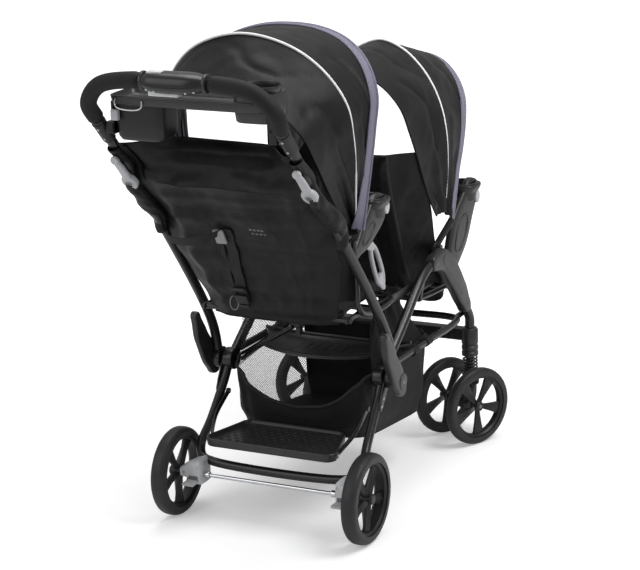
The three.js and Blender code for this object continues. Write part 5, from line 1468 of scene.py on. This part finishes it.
for end, (hinge, *halves, tops) in canopies.items():
    bows = []
    for half, top in zip(halves, tops):
        bows.append(mirrored(half, (0, *top)))
    hems[end] = [bow_place(hinge, bows[0], i / 40) for i in range(41)]
    ways = 112
    seed = 7 if end == "rear" else 11
    rows = []
    for r in range(53):
        along = 2 * r / 52
        row = []
        for c in range(ways + 1):
            share = c / ways
            place = fabric_place(hinge, bows, along, share, 1.0)
            low = fabric_place(hinge, bows, max(along - 0.04, 0), share)
            high = fabric_place(hinge, bows, min(along + 0.04, 2), share)
            left = fabric_place(hinge, bows, along, min(share + 0.01, 1))
            right = fabric_place(hinge, bows, along, max(share - 0.01, 0))
            out = (left - right).cross(high - low).normalized()
            if out.dot(place - Vector((0, *hinge))) < 0:
                out = -out
            free = abs(math.sin(math.pi * along)) ** 0.7
            side = (1 - math.sin(math.pi * share)) ** 1.3
            drift = noise.noise(Vector((along * 1.6, share * 6, seed)))
            pleat = math.sin(7.5 * along + 26 * share + 5 * drift)
            crease = 1 - abs(math.sin(9 * share + 2.2 * along + 3 * drift))
            fold = ripple(place.x, place.y, place.z, 130, 7) + 7 * pleat * side - 5 * crease**5
            row.append(place + out * (fold - 3) * free)
        rows.append(row)
    node = [f"{end}_canopy"]
    cloth = sewn(f"{end}_canopy_cloth", nylon, None, rows, 1.5, replaces=node)
    cord = [bow_place(hinge, bows[1], i / 120, -3.2) for i in range(121)]
    piping = made(f"{end}_canopy_piping", piping_white, None, [pipe(cord, 3.0, 12)])
    edge = made(f"{end}_canopy_hem", nylon, None, [pipe(rows[0], 2.6, 10)])
    seam = made(f"{end}_canopy_hem_seam", lining, None, [pipe(rows[4], 1.6, 8)])
    start = here(*bow_place(hinge, bows[0], 0.5))
    finish = here(*bow_place(hinge, bows[2], 0.5))
    for piece in (cloth, piping, edge, seam):
        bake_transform(piece)

    band_rows = [[] for _ in range(6)]
    lines = [[], []]
    for c in range(161):
        share = c / 160
        place = bow_place(hinge, bows[2], share)
        ahead, behind = min(share + 0.004, 1), max(share - 0.004, 0)
        run = (bow_place(hinge, bows[2], ahead) - bow_place(hinge, bows[2], behind)).normalized()
        back = fabric_place(hinge, bows, 1.4, share) - place
        back = (back - run * back.dot(run)).normalized()
        out = run.cross(back)
        out = out if out.dot(place - Vector((0, *hinge))) > 0 else -out
        broad = 28 if end == "rear" else 17 + 9 * math.sin(math.pi * share)
        for r, row in enumerate(band_rows):
            row.append(place + back * (broad * r / 5 - 2) + out * (2.6 - 0.22 * (r - 2.5) ** 2))
        for line, at in zip(lines, (3.4, broad - 6)):
            line.append(place + back * at + out * 2.5)
    body = f"{end}_bow"
    band = [plate(band_rows, 3), pipe(band_rows[0], 3.4, 12)]
    made(f"{end}_canopy_band", lilac, body, band, [f"{end}_canopy_bow"], crease=60)
    stitches(f"{end}_band_stitches", pale_thread, body, lines)
    wires = []
    for sign in (-1, 1):
        foot = Vector((sign * 180.5, *hinge))
        wires.append(pipe([foot, band_rows[2][0 if sign < 0 else -1]], 9, 16, 0.6))
        wires.append(turned(ball_nosed(11, 17, 2.2), foot, ALONG_X, 40))
    made(f"{end}_canopy_hinges", satin, body, wires)
    for name, sign in SIDES:
        bolt = [screw((sign * 186.4, *hinge), (sign, 0, 0), 4.4, 1.4)]
        made(f"{end}_hinge_bolt_{name}", dark_zinc, body, bolt)


# Side wings. Black lining cloth gathered between each seat's back and the rear hem of its canopy, and
# sewn below the canopy to the arms of the child's tray.
wings = {
    "rear": (146, REAR_BACK, (0.90, 0.09), 12, ((-84, 700), (-100, 640), (-114, 546)), (-84, 640)),
    "front": (128, FRONT_BACK, (0.99, 0.05), 8, ((-590, 560), (-628, 500), (-640, 452)), (-600, 560)),
}
for end, (half, back_spec, (top, low), reach, below, hold) in wings.items():
    for name, sign in SIDES:
        hem = hems[end] if sign < 0 else hems[end][::-1]
        edge_line = [hem[k] - Vector((sign * 3, 0, 0)) for k in range(reach, -1, -3)]
        edge_line += [Vector((sign * 185, *p)) for p in below]
        foot, head = (Vector((sign * half, *p)) for p in back_spec[:2])
        rows = []
        for r in range(73):
            t = r / 72
            row = []
            for c in range(21):
                s = c / 20
                place = foot.lerp(head, top + (low - top) * t).lerp(route(edge_line, t), s)
                loose = math.sin(math.pi * s) * math.sin(math.pi * t) ** 0.4
                gather = 7 * math.sin(19 * t + 6 * s) + ripple(place.x, place.y, place.z, 45, 8)
                place.x += sign * min(gather, 8) * loose
                row.append(place)
            rows.append(row)
        back = [f"{end}_back_cushion"]
        wing = sewn(f"{end}_wing_{name}", lining, None, rows, sign * 1.4)
        start = here(sign * 184, *hold)
        here(*foot.lerp(head, 0.5))
        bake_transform(wing)


# Storage basket. A tub of black lining cloth hung from the lower rails by four tabs, with a bound rim
# that dips at the rear as a mouth, and a pale net in its left side.
BASKET_Y = -355.3
RIM_Z = 342
INSET = 1


def basket_place(angle, height):
    """A place on the tub's wall: the angle runs round it, the height from 0 to its rim at 1."""
    cx, cy = squared(angle, 0.32)
    taper = between([(0, 0.9), (0.3, 0.97), (1, 1)], height)
    half_x = 188 * taper - INSET
    half_y = 204.7 * (1 + taper) / 2 - INSET
    rim = RIM_Z - 92 * max(0, cy) ** 5 * (1 - abs(cx) ** 2.2)
    low = 140 + 44 * (1 + cy) / 2 + INSET
    z = low + (rim - low) * height
    sag = -7 * math.sin(math.pi * height) * (1 - abs(cx) ** 8 * 0.4)
    fold = ripple(cx * 188, cy * 205, z, 70, 5) * math.sin(math.pi * min(height * 1.1, 1))
    fold += 2.5 * math.sin(angle * 13 + 4 * height) * height
    wall = min(1 + (sag * -0.3 + fold) / 200, 1.012)
    return Vector((cx * half_x * wall, BASKET_Y + cy * half_y * wall, z + fold * 0.2))


def basket_rows(first, span, steps):
    """The tub's wall from its floor up, over a span of degrees."""
    angles = [math.radians(first + span * i / steps) for i in range(steps + 1)]
    return [[basket_place(angle, r / 26) for angle in angles] for r in range(27)]


wall_rows = basket_rows(40, 275, 120)
bag = [sewn("basket_wall", lining, "frame", wall_rows, 1.4, ["basket"])]
net = Finish("pale_net", Specular_IOR_Level=0.3, Roughness=0.6)
threads = []
for way in ((0, 1, 1), (0, 1, -1)):
    turned_way = net.node("VectorMath", {"operation": "DOT_PRODUCT"}, {0: net.place, 1: way}, 1)
    wave = net.node("Math", {"operation": "PINGPONG"}, {0: turned_way * 150.0, 1: 0.5})
    threads.append(net.steps(wave, 0.06, 0.09))
net.feed(Alpha=1 - threads[0] * threads[1] * 0.92)
net.feed(Base_Color=net.shades(net.cloud(60, 3), (0.05, 0.05, 0.05), (0.13, 0.13, 0.13)))
bag.append(sewn("basket_net", net, "frame", basket_rows(-45, 85, 40), 0.8))
floor_rows = []
for r in range(31):
    v = -1 + 2 * r / 30
    row = []
    for c in range(29):
        u = -1 + 2 * c / 28
        out = max(abs(u), abs(v), 1e-6)
        place = Vector((0, BASKET_Y, 148)).lerp(basket_place(math.atan2(v, u), 0), out)
        place.z += ripple(u * 180, v * 200, 0, 60, 3) * (1 - out) - 6 * (1 - out * out)
        row.append(place)
    floor_rows.append(row)
bag.append(sewn("basket_floor", lining, "frame", floor_rows, 1.4))
rim_path = [basket_place(math.tau * i / 180, 1) for i in range(181)]
bag.append(made("basket_binding", webbing, "frame", [pipe(rim_path, 4.2, 12)]))
for piece in bag:
    here(0, BASKET_Y, RIM_Z)
    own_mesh(piece)
tabs = []
for name, sign in SIDES:
    for share in (0.6, 0.8):
        y = -150.6 - 409.4 * share
        tabs.append(slab((sign * 190.2, y, 336.5), 6, 30, 24))
        tabs.append(turned(ball_nosed(30, 11.6, 1), (sign * 204, y, 341.5), (0, 1, 0), 28))
made("basket_tabs", webbing, "frame", tabs, bevel=1)
for name, sign in SIDES:
    rows = []
    for r in range(33):
        t = r / 32
        row = []
        for c in range(57):
            s = c / 56
            low = Vector((sign * 187, -196 - 300 * s, RIM_Z - 30 * (1 - s)))
            high = Vector((sign * (176 - 30 * math.sin(2 * s)), -236 - 196 * s, 496))
            place = low.lerp(high, t)
            gather = 8 * math.sin(34 * s + 3 * t) + 5 * math.sin(15 * s - 6 * t)
            place.x += sign * (gather * t - 12 * math.sin(math.pi * t))
            row.append(place)
        rows.append(row)
    cloth = net if sign > 0 else lining
    sewn(f"upper_net_{name}", cloth, "frame", rows, sign * 0.8)


# Studio. A pale floor and plain soft light from large lamps above and to the right.
floor_mesh = bpy.data.meshes.new("floor")
floor_mesh.from_pydata([(-9, -9, 0), (9, -9, 0), (9, 9, 0), (-9, 9, 0)], [], [(0, 1, 2, 3)])
placed("floor", floor_mesh)
paper = Finish("white_paper", Roughness=0.9, Specular_IOR_Level=0.1, Emission_Strength=1.0)
paper.shader.inputs["Base Color"].default_value = (0.88, 0.88, 0.885, 1)
seen = paper.node("LightPath", {}, {}, "Is Camera Ray")
away = paper.node("VectorMath", {"operation": "LENGTH"}, {0: paper.place}, "Value")
reach = {"Value": away, "From Min": 0.7, "From Max": 2.6}
open_floor = paper.node("MapRange", {"interpolation_type": "SMOOTHSTEP"}, reach)
glow = paper.node("Math", {"operation": "MULTIPLY_ADD"}, {0: open_floor, 1: 0.5, 2: 0.30})
paper.feed(Emission_Color=paper.shades(seen * glow, (0, 0, 0), (1, 1, 1)))
floor_mesh.materials.append(paper.material)
sky = bpy.data.worlds.new("studio")
bpy.context.scene.world = sky
sky.use_nodes = True
nodes, wires = sky.node_tree.nodes, sky.node_tree.links
path = nodes.new("ShaderNodeLightPath")
any_way = nodes.new("ShaderNodeMath")
any_way.operation = "MAXIMUM"
wires.new(path.outputs["Is Camera Ray"], any_way.inputs[0])
wires.new(path.outputs["Is Transmission Ray"], any_way.inputs[1])
level = nodes.new("ShaderNodeMapRange")
wires.new(any_way.outputs[0], level.inputs["Value"])
level.inputs["To Min"].default_value = 0.42
level.inputs["To Max"].default_value = 1.0
background = next(n for n in nodes if n.type == "BACKGROUND")
background.inputs["Color"].default_value = (1, 1, 1, 1)
wires.new(level.outputs["Result"], background.inputs["Strength"])


def lamp(name, away, size, power):
    """A soft square lamp that points at the middle of the stroller."""
    light = bpy.data.lights.new(name, "AREA")
    light.size = size
    light.energy = power
    unit = placed(name, light)
    target = Vector((0, 0, 0.6))
    unit.location = target + away
    unit.rotation_euler = (-away).to_track_quat("-Z", "Y").to_euler()


lamp("key", to_right * 1.9 + to_back * 0.9 + Vector((0, 0, 2.3)), 1.6, 62)
lamp("top", to_back * -0.6 + Vector((0, 0, 3.1)), 2.2, 52)
lamp("fill", to_right * -2.6 + to_back * 1.6 + Vector((0, 0, 0.9)), 2.4, 26)
